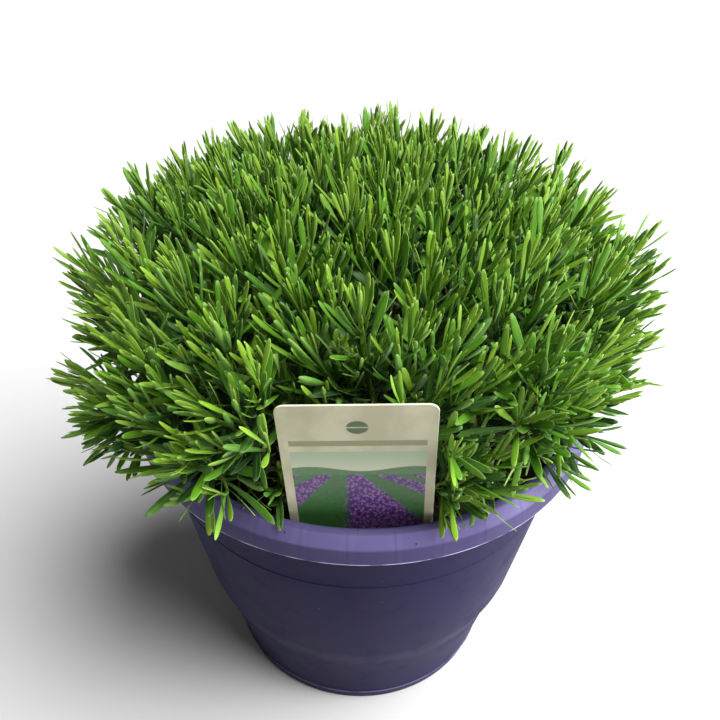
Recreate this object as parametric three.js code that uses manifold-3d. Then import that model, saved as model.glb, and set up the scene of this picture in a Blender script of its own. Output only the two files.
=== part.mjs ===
// A lavender bush in a round plastic pot, with its soil and a plant label.
// Millimetres, +Z up. The origin is the middle of the pot's underside, on the ground.
// The label stands at the front, which faces -Y.

import * as THREE from 'three';
import { mergeVertices } from 'three/addons/utils/BufferGeometryUtils.js';
import Module from 'manifold-3d';

const wasm = await Module();
wasm.setup();

const DEGREE = Math.PI / 180;
const MERGE_DISTANCE = 1e-4;
const FIT_GAP = 0.35;
const SMALLEST_EDGE = 0.04;

// Pot: outside radii and heights above the ground
const ROUND_STEPS = 36;
const POT_HEIGHT = 238;
const WALL = 2.4;
const BASE_RADIUS = 96.2;
const BASE_BAND_HEIGHT = 9;
const BASE_BAND_RADIUS = 98.6;
const BASE_LEDGE = 0.7;
const FOOT_TOP_HEIGHT = 71;
const FOOT_TOP_RADIUS = 111.4;
const SHOULDER_TOP_HEIGHT = 93;
const SHOULDER_TOP_RADIUS = 119.2;
const SHOULDER_EASE = 8;
const FOOT_FLARE = 2;
const WALL_FLARE = 1.4;
const SHELF_HEIGHT = 178;
const SHELF_RADIUS = 133.5;
const SHELF_LEDGE = 0.6;
const SKIRT_BOTTOM = 218.5;
const SKIRT_RADIUS = 150;
const SKIRT_TOP = 229.6;
const SKIRT_TOP_RADIUS = 149.3;
const RIDGE_RADIUS = 144.8;
const RIDGE_DROP = 0.7;
const LIP_RADIUS = 141.6;
const LIP_INNER_RADIUS = 139.4;
const LIP_INNER_DROP = 1.2;
const NECK_RADIUS = 140.2;

// Floor of the pot: a flat middle, and a raised channel round it with the drain holes
const FLOOR = 2.5;
const CHANNEL_INNER_RADIUS = 62;
const CHANNEL_OUTER_RADIUS = 93.6;
const CHANNEL_RISE = 4;
const CHANNEL_SLOPE = 3;
const DRAIN_HOLES = 6;
const DRAIN_RADIUS = 5;
const DRAIN_SIDES = 8;

// Soil: height of its surface at the wall and in the middle
const SOIL_EDGE_HEIGHT = 217;
const SOIL_MIDDLE_HEIGHT = 226;
const SOIL_SHOULDER_RADIUS = 112;
const SOIL_SHOULDER_HEIGHT = 220.5;

// Label: a card on a stake
const CARD_WIDTH = 78;
const CARD_HEIGHT = 108;
const CARD_THICKNESS = 1;
const CARD_CORNER = 5;
const STAKE_WIDTH = 17;
const STAKE_LENGTH = 52;
const STAKE_TAPER = 12;
const CARD_LEAN = 9 * DEGREE;
const CARD_TILT = 2 * DEGREE;
const CARD_FOOT_Y = -127.6;
const CARD_FOOT_HEIGHT = 221;

// Bush: an ellipsoid above the rim, with steeper sides under its widest height. Its low stems are less far
// out at the front right, sink towards the rim in front and trail over it at the front left
const STEM_COUNT = 52;
const TURN_JITTER = 0.2;
const GOLDEN_ANGLE = Math.PI * (3 - Math.sqrt(5));
const BUSH_RADIUS = 167.5;
const BUSH_WIDEST = POT_HEIGHT + 80;
const BUSH_RISE = 59;
const BUSH_DROP = 90;
const BUSH_LAST_ANGLE = 120 * DEGREE;
const LOW_FROM = 88 * DEGREE;
const TRIM_TURN = -60 * DEGREE;
const TRIM = 0.16;
const FRONT_FALL = 24;
const TRAIL_TURN = -155 * DEGREE;
const TRAIL_FALL = 24;
const TRAIL_REACH = 24;
const TRAIL_LEAN = 14 * DEGREE;
const HELD_RAISE = 330;
const AREA_STEPS = 240;

// Stems and leaves have three sides: a flat face above and a keel below
const SIDES = 3;
const ROOT_SPREAD = 112;
const ROOT_DEPTH = 20;
const STEM_COLLAR = 6;
const STEM_RADIUS = 2.7;
const FORK_RADIUS = 2.2;
const FORK_SHARE = 0.4;
const FORK_LIFT = 0.1;
const BRANCH_STARTS = [0.04, 0.3];
const RIM_ROOM = 9;
const CROWN_ROOM = 15;
const TIP_ROOM = 7;
const NECK_ROOM = 5;
const SEED = 1;
const SHOOT_RADIUS = 1.7;
const BRANCH_RADIUS = 1.1;
const BRANCH_TWIST = 16 * DEGREE;
const SHOOTS_PER_STEM = 3;
const SHOOT_SPREAD = 18;
const LEAN_SHARE = 0.5;

const LEAF_WIDTH = 5;
const LEAF_THICKNESS = 1.4;
const LEAF_LENGTH_MIN = 28;
const LEAF_LENGTH_MAX = 38;
const LEAF_ROOT_RADIUS = 0.45;
const LEAF_ROOT_SHIFT = 0.15;
const LEAF_ROOT_ROOM = 7;
const LEAF_ARCH = 0.1;
const TIP_LEAF_LENGTH = 27;
const PAIR_DROP = 4;
const PAIR_STEP = 15;
const LEAF_STAGGER = 2.2;
const PAIR_SPLAY = 42 * DEGREE;
const LOW_PAIR_SPLAY = 58 * DEGREE;
const LOW_PAIR_FROM = 70 * DEGREE;
const LOW_PAIR_ROOM = 26;
const LEAF_TRIES = 18;
const BEAD_STEP = 4;
const BEAD_GAP = 0.5;

const MATERIALS = {
  pot: new THREE.MeshStandardMaterial({ color: 0x6f66a0, roughness: 0.55, metalness: 0 }),
  soil: new THREE.MeshStandardMaterial({ color: 0x2a211b, roughness: 0.95, metalness: 0 }),
  label: new THREE.MeshStandardMaterial({ color: 0xd9d8c2, roughness: 0.45, metalness: 0 }),
  leafy: new THREE.MeshStandardMaterial({ color: 0x4f8f2c, roughness: 0.6, metalness: 0 }),
};

/** A repeatable draw between 0 and 1 from two whole numbers. */
function chance(index, salt) {
  const wave = Math.sin(index * 12.9898 + salt * 78.233 + SEED) * 43758.5453;
  return wave - Math.floor(wave);
}

function between(low, high, share) {
  return low + (high - low) * share;
}

/** Merges the shared corners of a closed geometry and makes a solid of it. */
function toSolid(geometry) {
  const bare = geometry.clone();
  bare.deleteAttribute('normal');
  bare.deleteAttribute('uv');
  const merged = mergeVertices(bare, MERGE_DISTANCE);
  const corners = merged.index.array;
  const kept = [];
  for (let i = 0; i < corners.length; i += 3) {
    const [a, b, c] = corners.slice(i, i + 3);
    if (a !== b && b !== c && c !== a) kept.push(a, b, c);
  }
  return new wasm.Manifold(new wasm.Mesh({
    numProp: 3,
    vertProperties: Float32Array.from(merged.attributes.position.array),
    triVerts: Uint32Array.from(kept),
  }));
}

/** A named three.js mesh of a solid. */
function toMesh(name, solid, material) {
  const faces = solid.getMesh();
  const geometry = new THREE.BufferGeometry();
  geometry.setAttribute('position', new THREE.BufferAttribute(Float32Array.from(faces.vertProperties), 3));
  geometry.setIndex(new THREE.BufferAttribute(Uint32Array.from(faces.triVerts), 1));
  geometry.computeVertexNormals();
  const mesh = new THREE.Mesh(geometry, material);
  mesh.name = name;
  return mesh;
}

/** Turns a profile of [radius, height] points about the Z axis. */
function turned(profile) {
  const points = profile.map(([radius, height]) => new THREE.Vector2(radius, height));
  const geometry = new THREE.LatheGeometry(points, ROUND_STEPS);
  geometry.rotateX(Math.PI / 2);
  return toSolid(geometry);
}

/** A straight upright prism on a foot point, turned about its own axis. */
function prism(radius, height, sides, foot, turn) {
  const geometry = new THREE.CylinderGeometry(radius, radius, height, sides, 1);
  geometry.rotateX(Math.PI / 2);
  geometry.rotateZ(turn);
  geometry.translate(foot.x, foot.y, foot.z + height / 2);
  return toSolid(geometry);
}

/** Points of the soft shoulder between the foot and the wall, moved inwards by an inset. */
function shoulder(inset, steps) {
  const foot = new THREE.Vector2(FOOT_TOP_RADIUS - inset, FOOT_TOP_HEIGHT);
  const wall = new THREE.Vector2(SHOULDER_TOP_RADIUS - inset, SHOULDER_TOP_HEIGHT);
  const curve = new THREE.CubicBezierCurve(
    foot,
    new THREE.Vector2(foot.x + FOOT_FLARE, foot.y + SHOULDER_EASE),
    new THREE.Vector2(wall.x - WALL_FLARE, wall.y - SHOULDER_EASE),
    wall,
  );
  return curve.getPoints(steps).map((point) => [point.x, point.y]);
}

function pot() {
  const profile = [
    [0, 0],
    [CHANNEL_INNER_RADIUS, 0],
    [CHANNEL_INNER_RADIUS + CHANNEL_SLOPE, CHANNEL_RISE],
    [CHANNEL_OUTER_RADIUS - CHANNEL_SLOPE, CHANNEL_RISE],
    [CHANNEL_OUTER_RADIUS, 0],
    [BASE_RADIUS, 0],
    [BASE_BAND_RADIUS, BASE_BAND_HEIGHT],
    [BASE_BAND_RADIUS - BASE_LEDGE, BASE_BAND_HEIGHT + BASE_LEDGE],
    ...shoulder(0, 3),
    [SHELF_RADIUS, SHELF_HEIGHT - SHELF_LEDGE],
    [SHELF_RADIUS - SHELF_LEDGE, SHELF_HEIGHT],
    [NECK_RADIUS, SKIRT_TOP],
    [SKIRT_TOP_RADIUS - WALL, SKIRT_TOP - RIDGE_DROP],
    [SKIRT_RADIUS - WALL, SKIRT_BOTTOM],
    [SKIRT_RADIUS, SKIRT_BOTTOM],
    [SKIRT_TOP_RADIUS, SKIRT_TOP],
    [RIDGE_RADIUS, POT_HEIGHT - RIDGE_DROP],
    [LIP_RADIUS, POT_HEIGHT],
    [LIP_INNER_RADIUS, POT_HEIGHT - LIP_INNER_DROP],
    [NECK_RADIUS - WALL, SKIRT_TOP],
    [SHELF_RADIUS - SHELF_LEDGE - WALL, SHELF_HEIGHT],
    ...shoulder(WALL, 1).reverse(),
    [CHANNEL_OUTER_RADIUS + CHANNEL_SLOPE, CHANNEL_RISE + 2 * FLOOR],
    [CHANNEL_OUTER_RADIUS - CHANNEL_SLOPE, CHANNEL_RISE + FLOOR],
    [CHANNEL_INNER_RADIUS + CHANNEL_SLOPE, CHANNEL_RISE + FLOOR],
    [CHANNEL_INNER_RADIUS, FLOOR],
    [0, FLOOR],
  ];
  let solid = turned(profile);
  const ring = (CHANNEL_INNER_RADIUS + CHANNEL_OUTER_RADIUS) / 2;
  for (let i = 0; i < DRAIN_HOLES; i += 1) {
    const turn = (i + 0.5) * 2 * Math.PI / DRAIN_HOLES;
    const foot = new THREE.Vector3(ring * Math.cos(turn), ring * Math.sin(turn), FLOOR / 2);
    solid = solid.subtract(prism(DRAIN_RADIUS, 4 * FLOOR, DRAIN_SIDES, foot, turn));
  }
  return solid;
}

/** Height of the soil's surface at a distance from the middle. */
function soilHeight(radius) {
  if (radius < SOIL_SHOULDER_RADIUS) {
    return between(SOIL_MIDDLE_HEIGHT, SOIL_SHOULDER_HEIGHT, radius / SOIL_SHOULDER_RADIUS);
  }
  const share = (radius - SOIL_SHOULDER_RADIUS) / (NECK_RADIUS - WALL - SOIL_SHOULDER_RADIUS);
  return between(SOIL_SHOULDER_HEIGHT, SOIL_EDGE_HEIGHT, share);
}

/** The soil fills the pot, with a plain hole for each stem and a slot for the label's stake. */
function soil(stems) {
  const inset = WALL + FIT_GAP;
  const wallSlope = (NECK_RADIUS - SHELF_RADIUS + SHELF_LEDGE) / (SKIRT_TOP - SHELF_HEIGHT);
  const edge = NECK_RADIUS - inset - (SKIRT_TOP - SOIL_EDGE_HEIGHT) * wallSlope;
  let solid = turned([
    [0, FLOOR + FIT_GAP],
    [CHANNEL_INNER_RADIUS - FIT_GAP, FLOOR + FIT_GAP],
    [CHANNEL_INNER_RADIUS + CHANNEL_SLOPE - FIT_GAP, CHANNEL_RISE + FLOOR + FIT_GAP],
    [CHANNEL_OUTER_RADIUS - CHANNEL_SLOPE - FIT_GAP, CHANNEL_RISE + FLOOR + FIT_GAP],
    [CHANNEL_OUTER_RADIUS + CHANNEL_SLOPE - FIT_GAP, CHANNEL_RISE + 2 * FLOOR + FIT_GAP],
    ...shoulder(inset, 1),
    [SHELF_RADIUS - SHELF_LEDGE - inset, SHELF_HEIGHT],
    [edge, SOIL_EDGE_HEIGHT],
    [SOIL_SHOULDER_RADIUS, SOIL_SHOULDER_HEIGHT],
    [0, SOIL_MIDDLE_HEIGHT],
  ]);
  for (const stem of stems) {
    const foot = stem.root.clone().setZ(stem.root.z - FIT_GAP);
    const turn = Math.atan2(stem.outward.y, stem.outward.x) + Math.PI / 2;
    solid = solid.subtract(prism(STEM_RADIUS + 2 * FIT_GAP, 2 * ROOT_DEPTH, SIDES, foot, turn));
  }
  return solid.subtract(placedLabel(toSolid(stakeSlot())));
}

/** Outline of the card and its stake, grown by a margin, with the card's foot at height zero. */
function labelOutline(margin) {
  const half = CARD_WIDTH / 2 + margin;
  const stake = STAKE_WIDTH / 2 + margin;
  const shape = new THREE.Shape();
  shape.moveTo(-half, CARD_CORNER);
  shape.lineTo(-half, CARD_HEIGHT - CARD_CORNER);
  shape.quadraticCurveTo(-half, CARD_HEIGHT + margin, -half + CARD_CORNER, CARD_HEIGHT + margin);
  shape.lineTo(half - CARD_CORNER, CARD_HEIGHT + margin);
  shape.quadraticCurveTo(half, CARD_HEIGHT + margin, half, CARD_HEIGHT - CARD_CORNER);
  shape.lineTo(half, CARD_CORNER);
  shape.lineTo(stake, -margin);
  shape.lineTo(stake, -STAKE_LENGTH + STAKE_TAPER);
  shape.lineTo(0, -STAKE_LENGTH - margin);
  shape.lineTo(-stake, -STAKE_LENGTH + STAKE_TAPER);
  shape.lineTo(-stake, -margin);
  return shape;
}

function extruded(outline, depth) {
  const geometry = new THREE.ExtrudeGeometry(outline, { depth, bevelEnabled: false, curveSegments: 3 });
  geometry.translate(0, 0, -depth / 2);
  geometry.rotateX(Math.PI / 2);
  return geometry;
}

function stakeSlot() {
  return extruded(labelOutline(FIT_GAP), CARD_THICKNESS + 2 * FIT_GAP);
}

/** Leans a label's solid forwards over the lip and stands it in the soil. */
function placedLabel(solid) {
  const place = new THREE.Matrix4().makeTranslation(0, CARD_FOOT_Y, CARD_FOOT_HEIGHT);
  place.multiply(new THREE.Matrix4().makeRotationX(CARD_LEAN));
  place.multiply(new THREE.Matrix4().makeRotationY(-CARD_TILT));
  return solid.transform(place.toArray());
}

function label() {
  return placedLabel(toSolid(extruded(labelOutline(0), CARD_THICKNESS)));
}

/** The bush's surface at an angle from straight up, as distance from the axis and height. */
function bushProfile(angle) {
  const upper = angle < Math.PI / 2;
  const reach = upper ? Math.sin(angle) : Math.sqrt(Math.sin(angle));
  const height = BUSH_WIDEST + (upper ? BUSH_RISE : BUSH_DROP) * Math.cos(angle);
  return [BUSH_RADIUS * reach, height];
}

/** Angles from straight up that divide the bush's surface into bands of equal area. */
function equalAreaAngles(count) {
  const sums = [0];
  for (let i = 0; i < AREA_STEPS; i += 1) {
    const [lowRadius, lowHeight] = bushProfile(BUSH_LAST_ANGLE * i / AREA_STEPS);
    const [highRadius, highHeight] = bushProfile(BUSH_LAST_ANGLE * (i + 1) / AREA_STEPS);
    const slant = Math.hypot(highRadius - lowRadius, highHeight - lowHeight);
    sums.push(sums[i] + slant * (lowRadius + highRadius) / 2);
  }
  const angles = [];
  let step = 0;
  for (let i = 0; i < count; i += 1) {
    const wanted = sums[AREA_STEPS] * (i + 0.5) / count;
    while (sums[step + 1] < wanted) step += 1;
    const share = (wanted - sums[step]) / (sums[step + 1] - sums[step]);
    angles.push(BUSH_LAST_ANGLE * (step + share) / AREA_STEPS);
  }
  return angles;
}

/** Where the card's back is at a height. */
function cardBack(height) {
  return CARD_FOOT_Y - (height - CARD_FOOT_HEIGHT) * Math.tan(CARD_LEAN) + CARD_THICKNESS;
}

/** Moves a point that lies in front of the card to one side of it, or behind its middle. */
function aroundLabel(point, room) {
  const moved = point.clone();
  const inFront = point.y < cardBack(point.z) + room && point.z < CARD_FOOT_HEIGHT + CARD_HEIGHT + room;
  if (inFront && Math.abs(point.x) < CARD_WIDTH / 3) moved.y = cardBack(point.z) + room;
  else if (inFront) moved.x = Math.sign(point.x) * Math.max(Math.abs(point.x), CARD_WIDTH / 2 + room);
  return moved;
}

/** Lifts a point that would touch the rim to a height over it. */
function overRim(point) {
  const reach = Math.hypot(point.x, point.y);
  const near = THREE.MathUtils.smoothstep(reach, 112, 132) * (1 - THREE.MathUtils.smoothstep(reach, 156, 168));
  const lift = Math.max(0, POT_HEIGHT + RIM_ROOM - point.z) * near;
  return point.clone().setZ(point.z + lift);
}

/** One leafy stem's places: its root in the soil, its crown and the tips of its shoots. */
function stemPlan(index, angle) {
  const turn = index * GOLDEN_ANGLE + TURN_JITTER * (chance(index, 1) - 0.5);
  const outward = new THREE.Vector3(Math.cos(turn), Math.sin(turn), 0);
  const around = new THREE.Vector3(-outward.y, outward.x, 0);
  const [roundReach, roundHeight] = bushProfile(angle);
  const low = THREE.MathUtils.smoothstep(angle, LOW_FROM, BUSH_LAST_ANGLE);
  const reach = roundReach * (1 - TRIM * low * Math.max(0, Math.cos(turn - TRIM_TURN)) ** 2);
  const height = roundHeight - FRONT_FALL * low * Math.max(0, -outward.y) ** 2;
  const trail = low * THREE.MathUtils.smoothstep(Math.cos(turn - TRAIL_TURN), 0.6, 0.95);
  const free = outward.clone().multiplyScalar(reach + TRAIL_REACH * trail).setZ(height - TRAIL_FALL * trail);
  const crown = aroundLabel(free, CROWN_ROOM);
  const rootReach = ROOT_SPREAD * Math.min(1, reach / BUSH_RADIUS + Math.max(0, angle - Math.PI / 2) * 0.1);
  const root = outward.clone().multiplyScalar(rootReach);
  root.y = Math.max(root.y, CARD_FOOT_Y + 14);
  root.z = soilHeight(rootReach) - ROOT_DEPTH;
  const heldBack = Math.min(1, Math.hypot(crown.x, crown.y) / Math.hypot(free.x, free.y));
  const inwards = Math.min(1, Math.hypot(crown.x, crown.y) / BUSH_RADIUS);
  const roof = BUSH_WIDEST + BUSH_RISE * Math.sqrt(1 - inwards * inwards);
  crown.z = Math.max(crown.z, Math.min(roof, crown.z + HELD_RAISE * (1 - heldBack)));
  const lean = (angle * LEAN_SHARE + TRAIL_LEAN * trail) * heldBack ** 5;
  const slope = outward.clone().multiplyScalar(Math.cos(angle * 0.9)).setZ(-Math.sin(angle * 0.9));
  const tips = [];
  for (let i = 0; i < SHOOTS_PER_STEM; i += 1) {
    const bearing = (i + chance(index, 2)) * 2 * Math.PI / SHOOTS_PER_STEM;
    const tip = crown.clone()
      .addScaledVector(slope, SHOOT_SPREAD * Math.cos(bearing))
      .addScaledVector(around, SHOOT_SPREAD * Math.sin(bearing));
    const growth = between(-7, 11, chance(index, 3 + i));
    const tipLean = lean + 0.2 * Math.cos(bearing);
    const axis = outward.clone().multiplyScalar(Math.sin(tipLean)).setZ(Math.cos(tipLean))
      .addScaledVector(around, 0.25 * Math.sin(bearing)).normalize();
    tip.addScaledVector(axis, growth);
    tips.push({ tip: aroundLabel(tip, TIP_ROOM), axis });
  }
  return { index, angle, root, crown, outward, tips };
}

/** Two directions across an axis: the face looks inwards and up, the side along the soil. */
function across(axis, outward) {
  const face = outward.clone().negate();
  face.addScaledVector(axis, -face.dot(axis)).normalize();
  return { face, side: new THREE.Vector3().crossVectors(face, axis).normalize() };
}

/** A ring of a stem: its place, the directions across it and its size both ways. */
function ring(at, axis, outward, width, depth = width) {
  return { at, ...across(axis, outward), width, depth };
}

/** Carries a closed three-sided geometry along rings, with its flat face on each ring's face. */
function carried(rings) {
  const geometry = new THREE.CylinderGeometry(1, 1, 1, SIDES, rings.length - 1);
  const places = geometry.attributes.position;
  for (let i = 0; i < places.count; i += 1) {
    const here = rings[Math.round((0.5 + places.getY(i)) * (rings.length - 1))];
    const point = here.at.clone()
      .addScaledVector(here.side, places.getX(i) * here.width)
      .addScaledVector(here.face, -places.getZ(i) * here.depth);
    places.setXYZ(i, point.x, point.y, point.z);
  }
  return toSolid(geometry);
}

/** Where a shoot's youngest leaf begins. */
function neckOf({ tip, axis }) {
  const free = tip.clone().addScaledVector(axis, -TIP_LEAF_LENGTH);
  return aroundLabel(overRim(free), NECK_ROOM);
}

/** The last rings of a shoot, which end in its youngest leaf. */
function shootEnd({ tip, axis }, outward) {
  const neck = neckOf({ tip, axis });
  const belly = neck.clone().lerp(tip, 0.6);
  return [
    ring(neck, axis, outward, SHOOT_RADIUS),
    ring(belly, axis, outward, LEAF_WIDTH / Math.sqrt(3), LEAF_THICKNESS / 1.5),
    ring(tip, axis, outward, 0),
  ];
}

/** The paths of a stem: the main one from the soil to the first tip, and a branch to each other tip. */
function stemPaths(plan) {
  const { root, crown, outward, tips } = plan;
  const up = new THREE.Vector3(0, 0, 1);
  const rise = crown.clone().sub(root);
  const collar = root.clone().setZ(root.z + ROOT_DEPTH + STEM_COLLAR);
  const raised = root.clone().addScaledVector(rise, FORK_SHARE);
  raised.z += FORK_LIFT * rise.length();
  const fork = aroundLabel(overRim(raised), NECK_ROOM);
  const [first, ...others] = tips;
  const neck = neckOf(first);
  const forkAxis = neck.clone().sub(collar).normalize();
  const main = [
    ring(root, up, outward, STEM_RADIUS),
    ring(collar, up, outward, STEM_RADIUS),
    ring(fork, forkAxis, outward, FORK_RADIUS),
    ...shootEnd(first, outward),
  ];
  const branches = others.map((end, i) => {
    const start = fork.clone().lerp(neck, BRANCH_STARTS[i]);
    const away = neckOf(end).sub(start).normalize();
    const knot = ring(start, away, outward, BRANCH_RADIUS);
    knot.side.applyAxisAngle(away, BRANCH_TWIST);
    knot.face.applyAxisAngle(away, BRANCH_TWIST);
    return [knot, ...shootEnd(end, outward)];
  });
  return [main, ...branches];
}

/** Beads along a path of rings, which stand for the room that it takes. */
function beads(rings) {
  const made = [];
  for (let i = 1; i < rings.length; i += 1) {
    const [from, to] = [rings[i - 1], rings[i]];
    const count = Math.ceil(from.at.distanceTo(to.at) / BEAD_STEP);
    for (let j = 1; j <= count; j += 1) {
      const at = from.at.clone().lerp(to.at, j / count);
      made.push({ at, radius: between(from.width, to.width, j / count) });
    }
  }
  return made;
}

/** Whether a bead is clear of the pot, the soil and the label. */
function clearOfPot({ at, radius }) {
  const room = radius + BEAD_GAP;
  const reach = Math.hypot(at.x, at.y);
  const inside = reach < NECK_RADIUS - WALL - 1 - room;
  if (inside) {
    const low = at.z < soilHeight(reach) + room;
    return !low && clearOfLabel(at, room);
  }
  const outside = reach > SKIRT_RADIUS + room;
  return (outside || at.z > POT_HEIGHT + room) && clearOfLabel(at, room);
}

function clearOfLabel(at, room) {
  const beside = Math.abs(at.x) > CARD_WIDTH / 2 + 2 + room;
  const above = at.z > CARD_FOOT_HEIGHT + CARD_HEIGHT + room;
  return beside || above || at.y > cardBack(at.z) + room;
}

/** A leaf's rings: narrow at its root, widest past its middle, arched outwards. */
function leafRings(root, axis, outward, bearing, splay, length) {
  const { side, face } = across(axis, outward);
  const away = side.clone().multiplyScalar(Math.cos(bearing)).addScaledVector(face, Math.sin(bearing));
  const along = axis.clone().multiplyScalar(Math.cos(splay)).addScaledVector(away, Math.sin(splay));
  const upper = axis.clone().multiplyScalar(Math.sin(splay)).addScaledVector(away, -Math.cos(splay));
  const edge = new THREE.Vector3().crossVectors(upper, along).normalize();
  const at = (share) => root.clone()
    .addScaledVector(away, LEAF_ROOT_SHIFT)
    .addScaledVector(along, share * length)
    .addScaledVector(upper, LEAF_ARCH * share * share * length);
  const sized = (share, width, depth) => ({ at: at(share), side: edge, face: upper, width, depth });
  return [
    sized(0, LEAF_ROOT_RADIUS, LEAF_ROOT_RADIUS),
    sized(0.58, LEAF_WIDTH / Math.sqrt(3), LEAF_THICKNESS / 1.5),
    sized(1, 0, 0),
  ];
}

/** Where a stem's leaves grow: a pair under each tip, and a lower pair on the main shoot. */
function leafSpots(plan) {
  const spots = [];
  plan.paths.forEach((path, shoot) => {
    const [below, neck] = path.slice(-4, -2);
    const axis = neck.at.clone().sub(below.at).normalize();
    const room = neck.at.distanceTo(below.at);
    const pairs = shoot === 0 && plan.angle > LOW_PAIR_FROM && room > LOW_PAIR_ROOM ? 2 : 1;
    for (let pair = 0; pair < pairs; pair += 1) {
      const drop = Math.min(PAIR_DROP + PAIR_STEP * pair, 0.75 * room);
      const node = neck.at.clone().addScaledVector(axis, -drop);
      const bearing = Math.PI * (chance(plan.index, 11 + shoot) + 0.5 * pair);
      const splay = pair === 0 ? PAIR_SPLAY : LOW_PAIR_SPLAY;
      for (let leaf = 0; leaf < 2; leaf += 1) {
        const salt = 20 + 10 * shoot + 4 * pair + leaf;
        const root = node.clone().addScaledVector(axis, -LEAF_STAGGER * leaf);
        spots.push({ root, axis, shoot, bearing: bearing + Math.PI * leaf, splay, salt });
      }
    }
  });
  return spots;
}

/** Gives each leaf the first direction that is clear of everything grown before it. */
function growLeaves(plans, taken) {
  for (const plan of plans) {
    plan.leaves = [];
    for (const spot of leafSpots(plan)) {
      const near = taken.filter((bead) => {
        const distance = bead.at.distanceTo(spot.root);
        const own = bead.stem === plan.index && bead.shoot === spot.shoot;
        const ownRoom = own ? LEAF_ROOT_ROOM : 0;
        return distance > ownRoom && distance < LEAF_LENGTH_MAX + 2 * LEAF_WIDTH;
      });
      for (let attempt = 0; attempt < LEAF_TRIES; attempt += 1) {
        const swing = (attempt % 2 ? 1 : -1) * Math.ceil(attempt / 2) * 20 * DEGREE;
        const length = between(LEAF_LENGTH_MIN, LEAF_LENGTH_MAX, chance(plan.index, spot.salt))
          * (1 - 0.015 * attempt);
        const rings = leafRings(spot.root, spot.axis, plan.outward, spot.bearing + swing, spot.splay, length);
        const body = beads(rings);
        const clear = body.every((bead) => clearOfPot(bead) && near.every((other) => (
          other.at.distanceTo(bead.at) > other.radius + bead.radius + BEAD_GAP)));
        if (clear) {
          plan.leaves.push(rings);
          for (const bead of body) taken.push({ ...bead, stem: plan.index, shoot: spot.shoot });
          break;
        }
      }
    }
  }
}

const stems = equalAreaAngles(STEM_COUNT).map((angle, index) => stemPlan(index, angle));
const grown = [];
for (const plan of stems) {
  plan.paths = stemPaths(plan);
  plan.paths.forEach((path, shoot) => {
    for (const bead of beads(path)) grown.push({ ...bead, stem: plan.index, shoot });
  });
}
growLeaves(stems, grown);

const plant = new THREE.Group();
plant.add(toMesh('pot', pot(), MATERIALS.pot));
plant.add(toMesh('soil', soil(stems), MATERIALS.soil));
plant.add(toMesh('label', label(), MATERIALS.label));
for (const plan of stems) {
  const solid = [...plan.paths, ...plan.leaves].map(carried)
    .reduce((whole, piece) => whole.add(piece))
    .simplify(SMALLEST_EDGE);
  plant.add(toMesh(`stem_${String(plan.index + 1).padStart(2, '0')}`, solid, MATERIALS.leafy));
}

export default plant;
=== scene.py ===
import math
from itertools import combinations

import bpy
import numpy as np
from mathutils import Matrix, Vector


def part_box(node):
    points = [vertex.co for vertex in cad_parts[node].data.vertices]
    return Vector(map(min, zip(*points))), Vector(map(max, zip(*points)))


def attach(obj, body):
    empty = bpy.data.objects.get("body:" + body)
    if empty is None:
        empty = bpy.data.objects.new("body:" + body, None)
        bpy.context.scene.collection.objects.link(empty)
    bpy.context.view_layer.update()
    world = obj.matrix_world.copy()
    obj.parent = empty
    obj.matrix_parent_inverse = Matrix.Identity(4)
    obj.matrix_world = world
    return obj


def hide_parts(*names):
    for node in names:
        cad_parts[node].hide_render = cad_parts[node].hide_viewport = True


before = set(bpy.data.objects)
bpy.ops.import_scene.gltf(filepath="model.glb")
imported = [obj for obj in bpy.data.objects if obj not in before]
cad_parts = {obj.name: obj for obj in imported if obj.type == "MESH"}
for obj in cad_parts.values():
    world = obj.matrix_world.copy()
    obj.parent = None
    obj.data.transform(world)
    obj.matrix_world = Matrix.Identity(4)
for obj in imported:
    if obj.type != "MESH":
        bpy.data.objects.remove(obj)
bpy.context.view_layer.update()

bl_info = {
    "name": "Potted lavender",
    "version": (1, 0, 0),
    "blender": (4, 5, 0),
    "location": "View3D > Sidebar > Lavender",
    "description": "Makes the pot, soil, plant label and leafy stems of a potted lavender",
    "category": "Add Mesh",
}

MM = 0.001
DEGREE = math.pi / 180
FULL_TURN = 2 * math.pi
GOLDEN_ANGLE = math.pi * (3 - math.sqrt(5))

# Pot, in millimetres: the same driving sizes as its solid
POT_LOW, POT_HIGH = (np.array(corner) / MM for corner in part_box("pot"))
POT_HEIGHT = float(POT_HIGH[2])
RIM_RADIUS = float(POT_HIGH[0] - POT_LOW[0]) / 2
WALL = 2.4
NECK_RADIUS = 140.2
SKIRT_BOTTOM = 218.5
SKIRT_TOP = 229.6
SKIRT_DRAFT = 0.7
BROW_RADIUS = 144.8
BROW_DROP = 0.7
LIP_RADIUS = 141.6
LIP_INNER_RADIUS = 139.4
SHELF_HEIGHT = 178
SHELF_RADIUS = 133.5
SHELF_LEDGE = 0.4
SOLID_LEDGE = 0.6
FLOOR = 2.5
SHOULDER_FOOT = np.array([109.1, 60])
SHOULDER_WALL = np.array([118.5, 88.5])
SHOULDER_PULLS = np.array([[1.9, 8.6], [-1.4, -8]])
CHANNEL_INNER_RADIUS = 62
CHANNEL_OUTER_RADIUS = 93.6
CHANNEL_RISE = 4
CHANNEL_SLOPE = 3
BASE_RADIUS = 96.2
BASE_BAND_RADIUS = 98.7
BASE_BAND_HEIGHT = 9
FOOT_RADIUS = 97.9
DRAIN_HOLES = 6
DRILL_SPAN = (-5, 14)
GUSSETS = 36
GUSSET_TURN = 3.1 * DEGREE
GUSSET_THICKNESS = 1.4
GUSSET_INNER_RADIUS = 139.6
GUSSET_TOP_RADIUS = 143.2

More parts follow.
